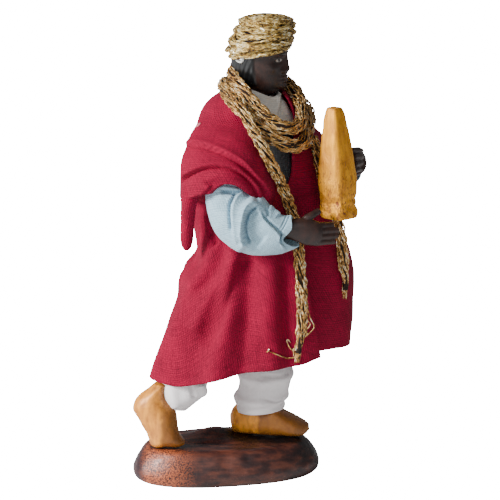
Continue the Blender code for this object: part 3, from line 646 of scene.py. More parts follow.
def make_shoe(name, points, square, painted_shade_from, material, node_name):
    """A moulded clay shoe with a soft, uneven surface, with painted shade on its side turned from the light,
    from one place on.
    """
    stations = [(Vector(((low_x + high_x) / 2, y, (low_z + high_z) / 2)),
                 Vector(((high_x - low_x) / 2, 0, (high_z - low_z) / 2)), Vector((0, width, 0)))
                for low_x, low_z, high_x, high_z, width, y in points]

    def swell(place, angle, spot):
        return 0.16 * grain(place, 2.4, 3) + 0.05 * grain(place, 0.7, 5)

    bm = loft(stations, STEPS["shoe"], square, swell)
    # Mask of painted shade: 1 on the side of the shoe turned away from the light
    layer = bm.verts.layers.float.new("painted_shade")
    for vert in bm.verts:
        vert[layer] = ease(vert.co.x / MM + 0.4 * grain(vert.co / MM, 1.2, 6), painted_shade_from - 0.6, painted_shade_from + 0.6)
    return finished(name, bm, material, "shoe_gold", node_name)


# Limbs and body: x, y, z, half-width across, half-width the other way
LEG_RIGHT = [
    (-10.4, -6.2, 16.6, 1.6, 1.4), (-10.2, -5.9, 19.0, 3.7, 3.4), (-9.2, -5.4, 22.0, 4.9, 4.0),
    (-7.2, -5.0, 26.5, 4.6, 4.0), (-4.2, -4.8, 33.0, 4.8, 4.3), (-1.8, -4.7, 38.0, 4.9, 4.5),
    (-0.6, -4.7, 40.4, 4.6, 4.4)]
LEG_LEFT = [
    (8.0, 3.6, 14.1, 5.4, 5.4), (7.9, 3.6, 15.3, 5.8, 5.7), (8.4, 3.7, 18.0, 5.6, 5.5),
    (9.2, 3.8, 23.0, 6.0, 5.5), (9.4, 4.2, 32.0, 5.6, 5.2), (8.9, 4.7, 38.0, 5.0, 4.8),
    (8.7, 4.8, 41.0, 4.6, 4.4)]
TUNIC = [
    (5.6, -0.5, 44.4, 8.6, 6.0), (5.8, -0.5, 47.0, 9.2, 6.6), (6.2, -0.6, 56.0, 8.8, 7.0),
    (6.6, -0.8, 66.0, 9.4, 7.6), (6.4, -0.8, 74.0, 10.0, 7.2), (6.0, -0.6, 79.5, 9.0, 6.0),
    (6.2, -0.5, 83.0, 6.4, 5.0), (6.4, -0.5, 85.0, 4.6, 4.2)]
SLEEVE_RIGHT = [
    (0.6, -9.4, 78.0, 3.2, 3.2), (0.3, -12.0, 73.0, 3.9, 3.9), (0.4, -14.2, 67.0, 4.4, 4.5),
    (1.7, -15.3, 62.9, 4.5, 5.0), (5.8, -16.2, 60.7, 4.2, 5.9), (9.6, -16.9, 59.7, 3.7, 5.2),
    (13.0, -17.3, 59.6, 3.1, 4.1), (15.4, -17.5, 60.2, 2.7, 3.5)]
SLEEVE_LEFT = [
    (11.4, 8.4, 78.0, 3.2, 3.2), (12.6, 10.4, 73.4, 3.9, 3.9), (14.2, 12.0, 68.6, 4.2, 4.2),
    (16.6, 12.0, 64.8, 4.3, 4.1), (19.8, 10.0, 63.6, 4.2, 4.0), (23.0, 6.6, 65.6, 4.0, 4.1),
    (25.6, 3.4, 68.2, 3.7, 3.9), (27.6, 0.8, 70.2, 3.2, 3.5)]
# Creases, drawn on the picture: kind, depth in millimetres, width in picture units, and line
TRAILING_CREASES = [
    ("ridge", 0.5, 5.0, [(172, 384), (173, 396), (177, 408)]),
    ("groove", 0.5, 1.6, [(190, 384), (192.5, 392), (194, 398)]),
    ("ridge", 0.9, 4.0, [(200, 384), (203, 390), (206, 396)])]
LEADING_CREASES = [
    ("groove", 0.35, 1.3, [(262, 375), (275, 377), (290, 373)]),
    ("groove", 0.3, 1.2, [(265, 399), (276, 402), (286, 399)]),
    ("ridge", 0.3, 5.0, [(262, 380), (260, 395), (262, 408)])]
VEST_CREASES = [
    ("groove", 0.6, 1.6, [(281, 136), (284, 160), (289, 190)]),
    ("ridge", 0.5, 1.8, [(285, 138), (288, 160), (292, 190)])]
COLLAR_CREASES = [
    ("lap", 1.0, 7.0, [(280.6, 91), (279.8, 98), (279.3, 104), (277.6, 112), (275.6, 120)]),
    ("groove", 1.0, 1.3, [(281.6, 92), (280.6, 98), (280.2, 104), (278.8, 112), (277.4, 120)]),
    ("ridge", 0.3, 2.5, [(283.4, 98), (285, 106), (287.6, 116)])]
NEAR_SLEEVE_CREASES = [
    ("lap", 1.9, 9.0, [(258, 205.2), (252.3, 206.6), (246.6, 211.9), (244.2, 218.6), (243.2, 225.3),
        (243.7, 234.8), (245.6, 240.6), (249.4, 244.4)]),
    ("groove", 1.5, 1.5, [(258, 206.5), (253.3, 208.6), (248.2, 213.5), (246, 219.6), (245, 226),
        (245.4, 234.5), (247.2, 240), (250.4, 243.4)]),
    ("groove", 0.8, 8.0, [(262, 214), (256, 222), (256, 234), (264, 242)]),
    ("lap", 1.1, 6.0, [(237, 242.5), (233.2, 230), (231.7, 220.5), (231.2, 211), (232.2, 203.3), (236, 196.6),
        (242.7, 190.8)]),
    ("groove", 0.8, 1.5, [(241.2, 190.4), (234.6, 196), (230.8, 203), (229.8, 211), (230.3, 221),
        (231.8, 231)]),
    ("groove", 1.2, 2.0, [(221, 191.5), (227.4, 191.6), (233, 192.8), (237, 193.6)]),
    ("ridge", 0.5, 1.6, [(213, 191.3), (219.8, 188.4), (227.4, 188.1), (235, 189.7), (241.8, 190.8)]),
    ("ridge", 0.5, 1.8, [(237, 195.4), (232, 197.6), (227, 201)]),
    ("lap", 1.0, 11.0, [(260, 211.9), (266.7, 221.4), (277.2, 231), (284.8, 236.7), (294.4, 244.4)]),
    ("groove", 0.7, 1.4, [(261.4, 211.4), (267.8, 220.4), (278.2, 229.9), (285.6, 235.6), (295, 243)]),
    ("ridge", 0.6, 3.0, [(268.6, 207), (275, 209.5), (279, 216)]),
    ("groove", 0.6, 1.4, [(266.6, 208), (268, 212), (268.6, 216)]),
    ("groove", 0.25, 0.8, [(286.7, 214.3), (282.6, 225), (279.6, 230)]),
    ("groove", 0.25, 0.8, [(289.6, 214.8), (285.6, 225), (282.4, 231.6)])]


def joined(first, *others):
    """One bmesh out of several."""
    for other in others:
        mesh = bpy.data.meshes.new("part")
        other.to_mesh(mesh)
        other.free()
        first.from_mesh(mesh)
        bpy.data.meshes.remove(mesh)
    return first


def make_trousers(material):
    """Trousers: the trailing leg hangs to a point over the instep, the leading leg bunches above its hem."""
    def trailing(place, angle, spot):
        return 0.35 * grain(place, 4.5, 1) * ease(spot, 0.02, 0.2)

    def leading(place, angle, spot):
        z = place.z
        rings = (0.55 * bump(z, 17.2 + 0.5 * math.sin(angle), 0.9)
                 + 0.55 * bump(z, 22.6 + 0.8 * math.sin(angle), 1.1))
        valleys = 0.45 * bump(z, 15.6 + 0.6 * math.sin(angle + 1), 0.5) + 0.5 * bump(z, 24.6, 0.6)
        return rings - valleys + 0.25 * grain(place, 4.0, 2)

    legs = []
    for points, steps, swell, creases in ((LEG_RIGHT, "trailing_leg", trailing, TRAILING_CREASES),
                                          (LEG_LEFT, "leading_leg", leading, LEADING_CREASES)):
        leg = loft(limb_stations(points, SIDEWAYS), STEPS[steps], 2.0, swell, closed=False)
        legs.append(creased(leg, creases))
    item = finished("trousers_cloth", joined(*legs), material, "trouser_cotton", "trousers")
    return walled(item, CLOTH_THICKNESS)


def make_vest(material):
    """Vest over the stuffed body, with long folds where it shows between the cloak's edges."""
    def swell(place, angle, spot):
        return 0.3 * math.sin(5 * angle + 3 * spot) + 0.3 * grain(place, 4.0, 6)

    bm = loft(limb_stations(TUNIC, LEFT), STEPS["vest"], 2.2, swell, closed=False)
    item = finished("vest_cloth", creased(bm, VEST_CREASES), material, "vest_cloth", "tunic")
    return walled(item, CLOTH_THICKNESS)


def turned_out(bm, centre):
    """Turns every face of an open sheet so that it looks away from a centre."""
    bm.normal_update()
    inward = [face for face in bm.faces if face.normal.dot(face.calc_center_median() - centre) < 0]
    bmesh.ops.reverse_faces(bm, faces=inward)
    return bm


def make_collar(material):
    """Two panels of pale cloth that cross below the throat, the near one under the other's edge."""
    def point(u, v):
        angle = math.tau * (u - 0.5) * 1.12
        front = 0.5 + 0.5 * math.cos(angle - math.pi)
        lap = 0.35 * ease(abs(angle), math.pi - 0.5, math.pi + 0.2) * (1 if angle > 0 else -1)
        radius = 4.7 + 2.1 * v + 2.6 * front ** 3 * v + 0.25 * math.sin(math.pi * v) + lap
        top, bottom = 89.6 - 2.6 * front ** 4, 85.0 - 4.6 * front ** 4
        way = -FORWARD * math.cos(angle) - LEFT * math.sin(angle)
        return Vector((6.8, -0.6, top + (bottom - top) * v)) + way * radius

    bm = turned_out(surface(point, STEPS["collar"]), Vector((6.8, -0.6, 78.0)) * MM)
    item = finished("collar_cloth", creased(bm, COLLAR_CREASES), material, "collar_cotton", "collar")
    return walled(item, COLLAR_THICKNESS)


# How deep the notch in the near cuff is
CUFF_NOTCH = 2.8


def near_swell(place, angle, spot):
    """Uneven cloth, full above the bend of the near elbow."""
    return 0.25 * grain(place, 3.5, 11) + 1.9 * bump(place.x, 6.6, 3.2) * bump(place.z, 66.6, 2.6)


def far_swell(place, angle, spot):
    """Uneven cloth, pushed up in rings along the far arm."""
    return 0.3 * grain(place, 3.0, 12) + 0.3 * math.sin(24 * spot + 2 * math.cos(angle))


def make_sleeve(name, points, across, material, node_name, steps, swell, creases=(), notch=0.0):
    """A shirt sleeve, open at its cuff, which may have a notch on its near side."""
    bm = creased(loft(limb_stations(points, across), steps, 2.0, swell, closed=False), creases)
    for vert in bm.verts:
        place = vert.co / MM
        near = ease(-place.y, 17.6, 18.4)
        vert.co.x -= notch * near * bump(place.z, 58.6, 1.9) * ease(place.x, 11.0, 15.4) * MM
    item = finished(name, bm, material, "shirt_cotton", node_name)
    return walled(item, CLOTH_THICKNESS)


# Cloak: reach of its plan to the left, right, near and far side at each height
CLOAK_CENTRE = (5.5, -0.5)
CLOAK_PLAN = [
    (22.0, -16.6, 26.8, -15.2, 13.6), (30.0, -14.7, 27.5, -14.8, 13.5), (36.0, -12.9, 28.0, -14.3, 13.3),
    (42.0, -10.8, 28.2, -13.9, 13.2), (45.5, -10.5, 28.3, -13.6, 13.2), (47.5, -9.8, 28.2, -13.3, 13.2),
    (50.2, -7.0, 27.7, -13.1, 13.3), (52.0, -6.4, 27.3, -12.8, 13.4), (57.0, -6.9, 25.6, -11.6, 13.6),
    (61.0, -7.7, 24.0, -11.4, 13.7), (66.0, -7.8, 22.0, -11.2, 13.8), (72.0, -7.2, 20.6, -11.8, 13.6),
    (78.0, -6.6, 18.8, -12.2, 12.8), (82.0, -5.8, 17.2, -11.4, 11.4), (85.0, -4.4, 15.6, -10.0, 9.6),
    (87.0, -2.4, 14.2, -8.2, 7.8), (88.2, -0.2, 13.0, -6.9, 6.4)]
CLOAK_TOP = 88.2
# Angle of the near and the far front edge at each height
CLOAK_EDGES = [
    (22.0, -33.0, -31.0), (30.0, -34.5, -32.0), (45.0, -41.0, -38.0), (55.0, -46.0, -43.0),
    (66.0, -57.0, -47.0), (76.0, -74.0, -44.0), (82.0, -90.0, -34.0), (86.0, -100.0, -19.0),
    (88.2, -106.0, -12.0)]
# Over each arm: angle, how far the cloak stands out, height of the edge that the sleeve comes out of
CLOAK_ARMS = [
    (-180.0, 0.0, 68.0), (-170.0, 0.8, 67.0), (-162.0, 2.2, 66.6), (-155.0, 3.7, 66.2), (-149.0, 4.8, 66.0),
    (-142.0, 6.0, 66.0), (-133.0, 7.3, 66.8), (-127.0, 8.1, 67.8), (-121.0, 8.6, 68.5), (-116.0, 8.8, 68.7),
    (-109.0, 8.9, 70.6), (-104.0, 8.8, 71.1), (-98.0, 8.3, 70.6), (-90.0, 7.2, 68.5), (-84.0, 6.2, 66.9),
    (-79.0, 5.0, 65.7), (-74.0, 3.6, 65.2), (-62.0, 0.6, 65.0), (-52.0, 0.0, 65.0), (-10.0, 0.0, 68.0),
    (4.0, 0.4, 72.0), (18.0, 2.8, 75.0), (30.0, 5.2, 72.0), (44.0, 7.0, 66.0), (60.0, 7.2, 60.0),
    (76.0, 5.6, 57.6), (92.0, 2.8, 60.0), (106.0, 0.8, 65.0), (120.0, 0.0, 68.0), (180.0, 0.0, 68.0)]
# Height of the hem at each angle
CLOAK_HEM = [
    (-180.0, 24.0), (-150.0, 23.4), (-144.0, 23.5), (-125.0, 25.1), (-98.0, 27.2), (-69.0, 28.3),
    (-49.0, 28.9), (-34.0, 30.2), (0.0, 30.4), (40.0, 28.6), (90.0, 25.8), (135.0, 24.0), (180.0, 24.0)]
# Folds: angle at the hem, angle at the waist, width in degrees, depth
CLOAK_FOLDS = [
    (-168.0, -128.0, 11.0, 1.3), (-140.0, -116.0, 9.0, -0.6), (-118.0, -102.0, 10.0, 1.2),
    (-98.0, -88.0, 9.0, -0.9), (-72.0, -66.0, 9.0, 0.7), (-56.0, -56.0, 6.0, -0.5), (150.0, 146.0, 11.0, 1.2),
    (172.0, 168.0, 9.0, -1.0), (126.0, 124.0, 9.0, -1.0), (102.0, 104.0, 10.0, 1.1), (78.0, 82.0, 9.0, -0.9),
    (54.0, 58.0, 10.0, 1.0), (28.0, 34.0, 9.0, -0.8), (4.0, 6.0, 8.0, 0.8), (-16.0, -14.0, 7.0, -0.6)]
WAIST, FOLD_END, FOLD_TOP = 58.0, 24.0, 70.0
# How deep the far front panel is tucked in
TUCK = 4.2
CLOAK_SQUARE = 2.3
# Rolls of cloth pushed up over the far forearm: height above the edge, half-height, how far they stand out
CLOAK_ROLLS = [(1.2, 1.0, 0.5), (4.8, 1.3, 1.1), (8.6, 1.5, 0.9), (3.0, 0.9, -0.5), (6.7, 0.9, -0.5)]
# Shares of the cloak's length between which it turns in under the edge over the arms
SHELF_START, SHELF_END = 0.46, 0.50


def plan_radius(angle, height):
    """Radius of the cloak's plan, without folds."""
    left, right, near, far = lookup(CLOAK_PLAN, height)
    c, s = math.cos(math.radians(angle)), math.sin(math.radians(angle))
    wide = right - CLOAK_CENTRE[0] if c > 0 else CLOAK_CENTRE[0] - left
    deep = far - CLOAK_CENTRE[1] if s > 0 else CLOAK_CENTRE[1] - near
    return (abs(c / wide) ** CLOAK_SQUARE + abs(s / deep) ** CLOAK_SQUARE) ** (-1 / CLOAK_SQUARE)


def fold_depth(angle, height):
    """Hanging folds: none at the shoulders, full at the hem."""
    if height > FOLD_TOP:
        return 0.0
    depth = 0.0
    fall = min(max((WAIST - height) / (WAIST - FOLD_END), -0.3), 1.0)
    for hem_angle, waist_angle, width, deep in CLOAK_FOLDS:
        middle = waist_angle + (hem_angle - waist_angle) * fall
        away = (angle - middle + 180) % 360 - 180
        depth += deep * bump(away, 0, width)
    return depth * ease(height, FOLD_TOP, 46.0)


def roll_depth(angle, height, edge):
    """The rolls over the far forearm."""
    share = 0.7 * ease(angle, 16, 34) * ease(-angle, -100, -84)
    return share and share * sum(deep * bump(height - edge, middle, width)
                                 for middle, width, deep in CLOAK_ROLLS)


def cloak_point(u, v):
    """The cloak's surface: u runs from its near front edge round the back to its far front edge,
    v from the neck over the shoulders, under the edge that the sleeves come out of, to the hem."""
    u = u * (0.62 + 0.38 * u)
    height = CLOAK_TOP + (26.0 - CLOAK_TOP) * v
    for _ in range(3):
        near, far = lookup(CLOAK_EDGES, height)
        angle = near + (far - 360 - near) * u
        wrapped = (angle + 180) % 360 - 180
        proud, edge = lookup(CLOAK_ARMS, wrapped)
        if v <= SHELF_START:
            height = CLOAK_TOP + (edge - CLOAK_TOP) * (v / SHELF_START) ** 0.85
        elif v >= SHELF_END:
            hem = lookup(CLOAK_HEM, wrapped)[0]
            height = edge - 1.0 + (hem - edge + 1.0) * (v - SHELF_END) / (1 - SHELF_END)
        else:
            height = edge - (v - SHELF_START) / (SHELF_END - SHELF_START)
    above = 1 - ease(v, SHELF_START, SHELF_END)
    radius = plan_radius(wrapped, height) + proud * ease(height, 85.0, 73.0) * above
    radius += fold_depth(wrapped, height) + roll_depth(wrapped, height, edge) * above
    radius -= TUCK * ease(u, 0.92, 0.99) * ease(height, 72.0, 62.0)
    way = Vector((math.cos(math.radians(wrapped)), math.sin(math.radians(wrapped)), 0))
    return Vector((*CLOAK_CENTRE, height)) + way * radius


# Creases of the cloak on its near side, drawn on the picture
CLOAK_CREASES = [
    ("lap", 1.5, 12.0, [(264.3, 208), (262.8, 192.7), (258, 181.2), (249.4, 171.7), (237, 162),
        (223.6, 154.4), (210.2, 148.7), (201.6, 146), (193, 145.4), (184.4, 147.5), (179, 152)]),
    ("groove", 0.6, 1.2, [(263.6, 208), (261.8, 193.4), (257, 182), (248.6, 172.8), (236.4, 163.2),
        (223, 155.6), (210, 149.9), (201.6, 147.2), (193, 146.6), (184.8, 148.7), (179, 154)]),
    ("lap", 1.3, 9.0, [(258.8, 204), (257, 192.7), (253.3, 185), (246.6, 177.4), (239, 171.7), (229.3, 167.8),
        (219.8, 166.6), (210, 167), (201.6, 168.8), (193, 172.2), (186.3, 176.5), (181, 184)]),
    ("groove", 0.6, 1.2, [(257.8, 204), (256, 193.4), (252.4, 186), (245.9, 178.5), (238.4, 172.9),
        (229, 169), (219.8, 167.9), (210, 168.2), (201.8, 170), (193.4, 173.4), (187, 177.7), (181.6, 185)]),
    ("ridge", 0.35, 4.0, [(200, 185), (214, 177), (228, 177), (242, 184), (251, 194)]),
    ("ridge", 0.4, 9.0, [(188, 135), (204, 131), (222, 137), (240, 148), (256, 166)]),
    ("groove", 0.5, 8.0, [(240, 110), (252, 132), (262, 152), (272, 178)]),
    ("lap", 0.8, 9.0, [(212, 185), (206.5, 191), (202, 196), (197.5, 201), (195, 207)]),
    ("ridge", 1.0, 8.0, [(236, 248), (221, 277), (206, 306), (192, 334)]),
    ("groove", 1.1, 8.0, [(247, 256), (236, 284), (222, 312), (204, 348)]),
    ("groove", 0.6, 7.0, [(232, 252), (214, 276), (197, 292), (180, 298)]),
    ("groove", 1.3, 4.5, [(210, 214), (209, 226), (211, 238), (216, 246)]),
    ("lap", 0.7, 6.0, [(213, 248), (206, 238), (204.5, 226), (204, 214)]),
    ("ridge", 0.5, 9.0, [(268, 262), (267, 300), (266, 345)]),
    ("groove", 0.5, 6.0, [(284, 262), (284, 300), (286, 350)]),
    ("groove", 0.2, 0.9, [(154, 370), (166, 376), (181, 379), (205, 373), (240, 366), (274, 361), (297, 356),
        (318, 349)])]
# The rolled tip of cloth that hangs behind the near arm: x, y, z, half-width across and half-depth
CLOAK_TIP = [
    (-6.4, -12.4, 71.0, 0.9, 0.8), (-6.9, -13.0, 69.6, 1.7, 1.6), (-7.3, -13.2, 67.6, 1.85, 2.0),
    (-7.7, -12.8, 65.4, 1.7, 2.0), (-7.9, -12.0, 62.6, 1.5, 1.8), (-8.1, -11.2, 59.5, 1.42, 1.5),
    (-8.2, -10.6, 56.8, 1.35, 1.35), (-8.25, -10.3, 55.2, 1.0, 1.0), (-8.3, -10.2, 54.4, 0.5, 0.5)]
TIP_SEAM = math.radians(-118)


def make_cloak(material):
    """The cloak: one sheet, pushed up in rolls over the near forearm, with a rolled tip behind it."""
    bm = creased(surface(cloak_point, STEPS["cloak"]), CLOAK_CREASES)
    for vert in bm.verts:
        place = vert.co / MM
        vert.co += vert.normal * (0.14 * grain(place, 5.0, 8) * MM)

    def rolled(place, angle, spot):
        turned = (angle - TIP_SEAM - 0.5 * spot) % math.tau / math.tau
        return 0.32 * turned - 0.1 + 0.12 * grain(place, 2.5, 14)

    bm = joined(bm, loft(limb_stations(CLOAK_TIP, SIDEWAYS), STEPS["cloak_tip"], 2.0, rolled))
    item = finished("cloak_cloth", bm, material, "cloak_cloth", "cloak")
    return walled(item, CLOAK_THICKNESS)


# Head: height, back x, front x, half-width
HEAD = [
    (84.0, 3.4, 9.8, 3.2), (87.0, 3.6, 9.8, 3.1), (88.3, 3.4, 12.0, 3.5), (89.4, 2.9, 13.4, 4.2),
    (91.5, 2.2, 13.6, 4.9), (94.0, 1.9, 13.4, 5.3), (96.2, 1.9, 13.6, 5.5), (98.5, 2.2, 13.7, 5.6),
    (101.0, 3.4, 12.6, 4.9), (103.0, 5.9, 10.2, 2.8)]
HEAD_Y = -0.6

# Hair starts at this angle from the face, and the face is turned this far towards the camera
HAIR_SIDE = 1.52
FACE_TURN = math.radians(-15)
# Forms of the face: how far each stands out, its angle from the middle and half-width as an angle, and
# its height and half-height
FACE = [
    (0.40, 0.27, 0.10, 92.9, 0.5), (0.50, 0.42, 0.32, 96.8, 0.42), (-0.80, 0.46, 0.22, 95.5, 0.70),
    (0.50, 0.46, 0.18, 95.4, 0.42), (0.34, 0.0, 0.36, 91.55, 0.42), (0.40, 0.0, 0.34, 90.75, 0.42),
    (-0.22, 0.0, 0.36, 91.16, 0.16), (-0.12, 0.0, 0.40, 90.0, 0.40), (0.45, 0.0, 0.45, 89.2, 0.75),
    (0.40, 0.80, 0.26, 93.8, 0.9), (-0.20, 0.34, 0.10, 92.0, 0.9)]


def make_head(material):
    """Head and neck: a calm, plain face, and combed hair from the temples back."""
    low, high = HEAD[0][0], HEAD[-1][0]
    turn = Matrix.Rotation(FACE_TURN, 3, "Z")

    def features(angle, height):
        side = abs(angle)
        nose = bump(angle, 0, 0.17 + 0.07 * bump(height, 92.9, 0.7))
        rise = nose * (0.95 * bump(height, 93.2, 1.0) + 0.7 * bump(height, 94.6, 1.2)
                       + 0.35 * bump(height, 96.0, 1.0))
        for deep, turned, wide, middle, tall in FACE:
            rise += deep * bump(side, turned, wide) * bump(height, middle, tall)
        hair = ease(side, HAIR_SIDE, HAIR_SIDE + 0.08) * ease(height, 89.6, 90.6)
        return rise + hair * (0.38 + 0.10 * math.sin(30 * side + 2.2 * height))

    def point(u, v):
        height = low + (high - low) * min(max(v * 1.03 - 0.015, 0.0), 1.0)
        back, front, width = lookup(HEAD, height)
        centre = Vector(((back + front) / 2, HEAD_Y, height))
        if v == 0.0 or v == 1.0:
            return centre
        angle = math.tau * u if u < 0.5 else math.tau * (u - 1)
        c, s = math.cos(angle), math.sin(angle)
        rise = features(angle, height)
        return centre + turn @ Vector((c * (front - back) / 2 + rise * c, s * width + rise * s, 0))

    bm = surface(point, STEPS["head"], tube=True)
    layers = [bm.verts.layers.float.new(name) for name in ("hair", "white", "lips")]
    for vert in bm.verts:
        place = vert.co / MM
        back, front, width = lookup(HEAD, place.z)
        offset = turn.inverted() @ (place - Vector(((back + front) / 2, HEAD_Y, place.z)))
        angle = math.atan2(offset.y / width, offset.x / ((front - back) / 2))
        side = abs(angle)
        brow = bump(side, 0.46, 0.22) * bump(place.z, 97.0 - 0.5 * (side - 0.4) ** 2, 0.3)
        vert[layers[0]] = max(ease(side, HAIR_SIDE, HAIR_SIDE + 0.06) * ease(place.z, 89.6, 90.2),
                              0.9 * ease(brow, 0.3, 0.6))
        eye = bump(side, 0.46, 0.20) * bump(place.z, 95.4, 0.36)
        iris = bump(side, 0.44, 0.06) * bump(place.z, 95.42, 0.4)
        vert[layers[1]] = 0.8 * ease(eye, 0.35, 0.55) * (1 - ease(iris, 0.35, 0.6))
        vert[layers[2]] = bump(angle, 0, 0.30) * max(bump(place.z, 91.55, 0.26), bump(place.z, 90.8, 0.28))
    return finished("head_clay", bm, material, "skin_paint", "head")


# Hands: the palm's x, y, z and half-widths, and each finger's start, end and radius at both
HAND_RIGHT_PALM = [
    (11.6, -17.3, 60.4, 1.7, 1.5), (13.6, -17.5, 60.6, 2.1, 1.6), (16.0, -17.5, 60.5, 2.6, 1.5),
    (18.2, -17.3, 59.9, 2.9, 1.4), (20.2, -16.9, 59.5, 2.6, 1.3), (21.0, -16.7, 59.4, 1.9, 1.0)]
HAND_RIGHT_FINGERS = [
    ((19.0, -17.0, 61.1), (23.7, -15.2, 61.1), 0.84, 0.66),
    ((19.0, -17.1, 59.9), (24.8, -15.2, 60.0), 0.84, 0.66),
    ((19.0, -17.1, 58.7), (24.7, -15.4, 58.8), 0.84, 0.66),
    ((18.8, -17.0, 57.5), (24.0, -15.7, 57.6), 0.86, 0.72),
    ((16.8, -17.0, 62.1), (20.8, -15.9, 64.5), 0.92, 0.60)]
HAND_LEFT_PALM = [
    (27.0, 1.6, 69.6, 2.0, 1.4), (28.4, -0.2, 71.0, 2.4, 1.4), (29.6, -1.8, 72.4, 2.7, 1.4),
    (30.2, -3.2, 73.2, 2.4, 1.3)]
HAND_LEFT_FINGERS = [
    ((30.2, -2.6, 75.0), (27.8, -6.8, 76.0), 0.82, 0.62),
    ((30.4, -2.8, 73.7), (28.4, -7.4, 74.6), 0.82, 0.62),
    ((30.3, -3.0, 72.4), (28.6, -7.4, 73.0), 0.80, 0.60),
    ((30.0, -3.0, 71.2), (28.6, -6.8, 71.4), 0.72, 0.56),
    ((28.8, -0.6, 73.6), (26.2, -3.0, 76.6), 0.90, 0.66)]
# How far a finger bows out at its knuckles, and the grain at which a hand is melted together
KNUCKLE_BOW = Vector((0, -0.25, 0.1))
HAND_GRAIN = 0.16


def make_hand(name, palm, fingers, material, node_name):
    """A hand moulded in one: a palm and knuckled fingers, smoothed together."""
    bm = loft(limb_stations(palm, UP), STEPS["palm"])
    for start, end, wide, narrow in fingers:
        start, end = Vector(start), Vector(end)
        points = [(*start, wide * 0.8, wide * 0.8),
                  (*(start.lerp(end, 0.3) + KNUCKLE_BOW), wide, wide * 0.95),
                  (*(start.lerp(end, 0.55) + KNUCKLE_BOW), wide * 0.9, wide * 0.88),
                  (*start.lerp(end, 0.8), wide * 0.85, wide * 0.85), (*end, narrow, narrow)]
        bm = joined(bm, loft(limb_stations(points, UP), STEPS["finger"]))
    item = finished(name, bm, material, "skin_paint", node_name)
    whole = item.modifiers.new("whole", "REMESH")
    whole.mode = "VOXEL"
    whole.voxel_size = HAND_GRAIN * MM
    rub = item.modifiers.new("rub", "SMOOTH")
    rub.factor, rub.iterations = 0.5, 5
    return baked(item)


# Instrument: height, half-diagonal of its rounded square section
INSTRUMENT_AXIS = (Vector((25.1, -10.9, 0)), Vector((23.9, -10.6, 0)))
INSTRUMENT = [
    (61.9, 4.1), (62.8, 4.4), (65.0, 4.15), (67.6, 4.4), (70.0, 4.5), (76.0, 3.8), (82.0, 2.85), (85.3, 2.1),
    (86.1, 1.7)]
INSTRUMENT_TURN = math.radians(45)
INSTRUMENT_CAP = 0.06


def make_instrument(material):
    """The held instrument: a tapering horn with soft corners, a creased foot and a flat top."""
    low, high = INSTRUMENT[0][0], INSTRUMENT[-1][0]

    def point(u, v):
        spot = min(max((v - INSTRUMENT_CAP) / (1 - 2 * INSTRUMENT_CAP), 0.0), 1.0)
        cap = min(v / INSTRUMENT_CAP, (1 - v) / INSTRUMENT_CAP, 1.0)
        height = low + (high - low) * spot
        size = lookup(INSTRUMENT, height)[0]
        flat = INSTRUMENT_TURN + math.tau * u
        spread = size * 0.80 * oval(math.tau * u, 4)[2] * cap
        centre = INSTRUMENT_AXIS[0].lerp(INSTRUMENT_AXIS[1], spot)
        place = Vector((centre.x + math.cos(flat) * spread, centre.y + math.sin(flat) * spread, height))
        foot = bump(height, 65.4, 2.2)
        dent = 0.13 * grain(place, 2.2, 9) + foot * (0.5 * grain(place, 1.3, 4) - 0.1)
        return place + Vector((math.cos(flat), math.sin(flat), 0)) * dent * cap

    bm = surface(point, STEPS["instrument"], tube=True)
    return finished("gold_instrument", bm, material, "instrument_gold", "instrument")


# Turban: height, middle x, half-length, half-width, and how much it is tilted
TURBAN = [
    (96.6, 7.9, 0.5, 0.5, 0.17), (96.7, 7.9, 6.2, 6.0, 0.17), (97.6, 7.9, 7.0, 6.6, 0.17),
    (99.4, 8.0, 7.2, 6.9, 0.16), (101.4, 8.5, 6.7, 6.5, 0.10), (103.2, 9.0, 6.1, 5.9, 0.04),
    (104.3, 9.2, 5.0, 4.8, 0.0), (104.8, 9.2, 2.6, 2.6, 0.0), (104.9, 9.2, 0.3, 0.3, 0.0)]
STRAND = 0.2
# Strands that wind round it, and strands that cross them
WINDINGS, CROSSINGS = 40, 30

# Scarf: routes of its middle line
SCARF_WOUND = [
    (6.6, 5.8, 93.0), (3.6, 4.0, 93.2), (1.9, 0.4, 92.8), (2.0, -4.0, 91.4), (3.8, -8.2, 89.8),
    (6.6, -11.6, 86.6), (10.4, -13.2, 83.4), (13.8, -12.8, 81.8), (16.4, -9.8, 82.2), (17.0, -5.2, 84.6),
    (15.8, 0.8, 87.2), (12.8, 5.8, 89.2), (8.4, 8.4, 89.8), (3.4, 7.8, 88.8), (0.4, 4.4, 88.8),
    (-0.2, -0.6, 89.2), (0.6, -5.8, 88.2), (3.0, -10.4, 86.2), (6.6, -13.8, 83.2), (11.0, -14.8, 79.8),
    (14.8, -13.6, 78.2), (17.4, -10.4, 78.6), (18.4, -5.2, 80.8), (17.8, 1.4, 83.0), (15.6, 6.6, 84.8)]
SCARF_END_RIGHT = [
    (2.6, -12.2, 88.2), (4.4, -14.6, 85.4), (6.8, -16.8, 81.4), (8.7, -17.6, 77.9), (10.2, -17.2, 74.8),
    (11.9, -15.8, 71.2), (13.4, -14.2, 67.4), (14.9, -13.1, 62.8), (16.0, -13.0, 57.6), (16.5, -14.2, 52.0),
    (16.9, -15.4, 44.6), (16.9, -15.7, 39.0), (16.4, -15.9, 34.0), (15.9, -16.0, 30.4)]
SCARF_END_LEFT = [
    (18.8, -4.2, 78.4), (20.6, -4.6, 73.0), (22.0, -5.6, 69.0), (23.6, -6.2, 64.8), (25.0, -6.8, 60.4),
    (25.8, -7.2, 56.0), (26.2, -7.0, 51.6), (26.6, -6.4, 47.0), (26.4, -6.0, 42.4)]
STRAND_SIDES, CORE_SIDES = 5, 14


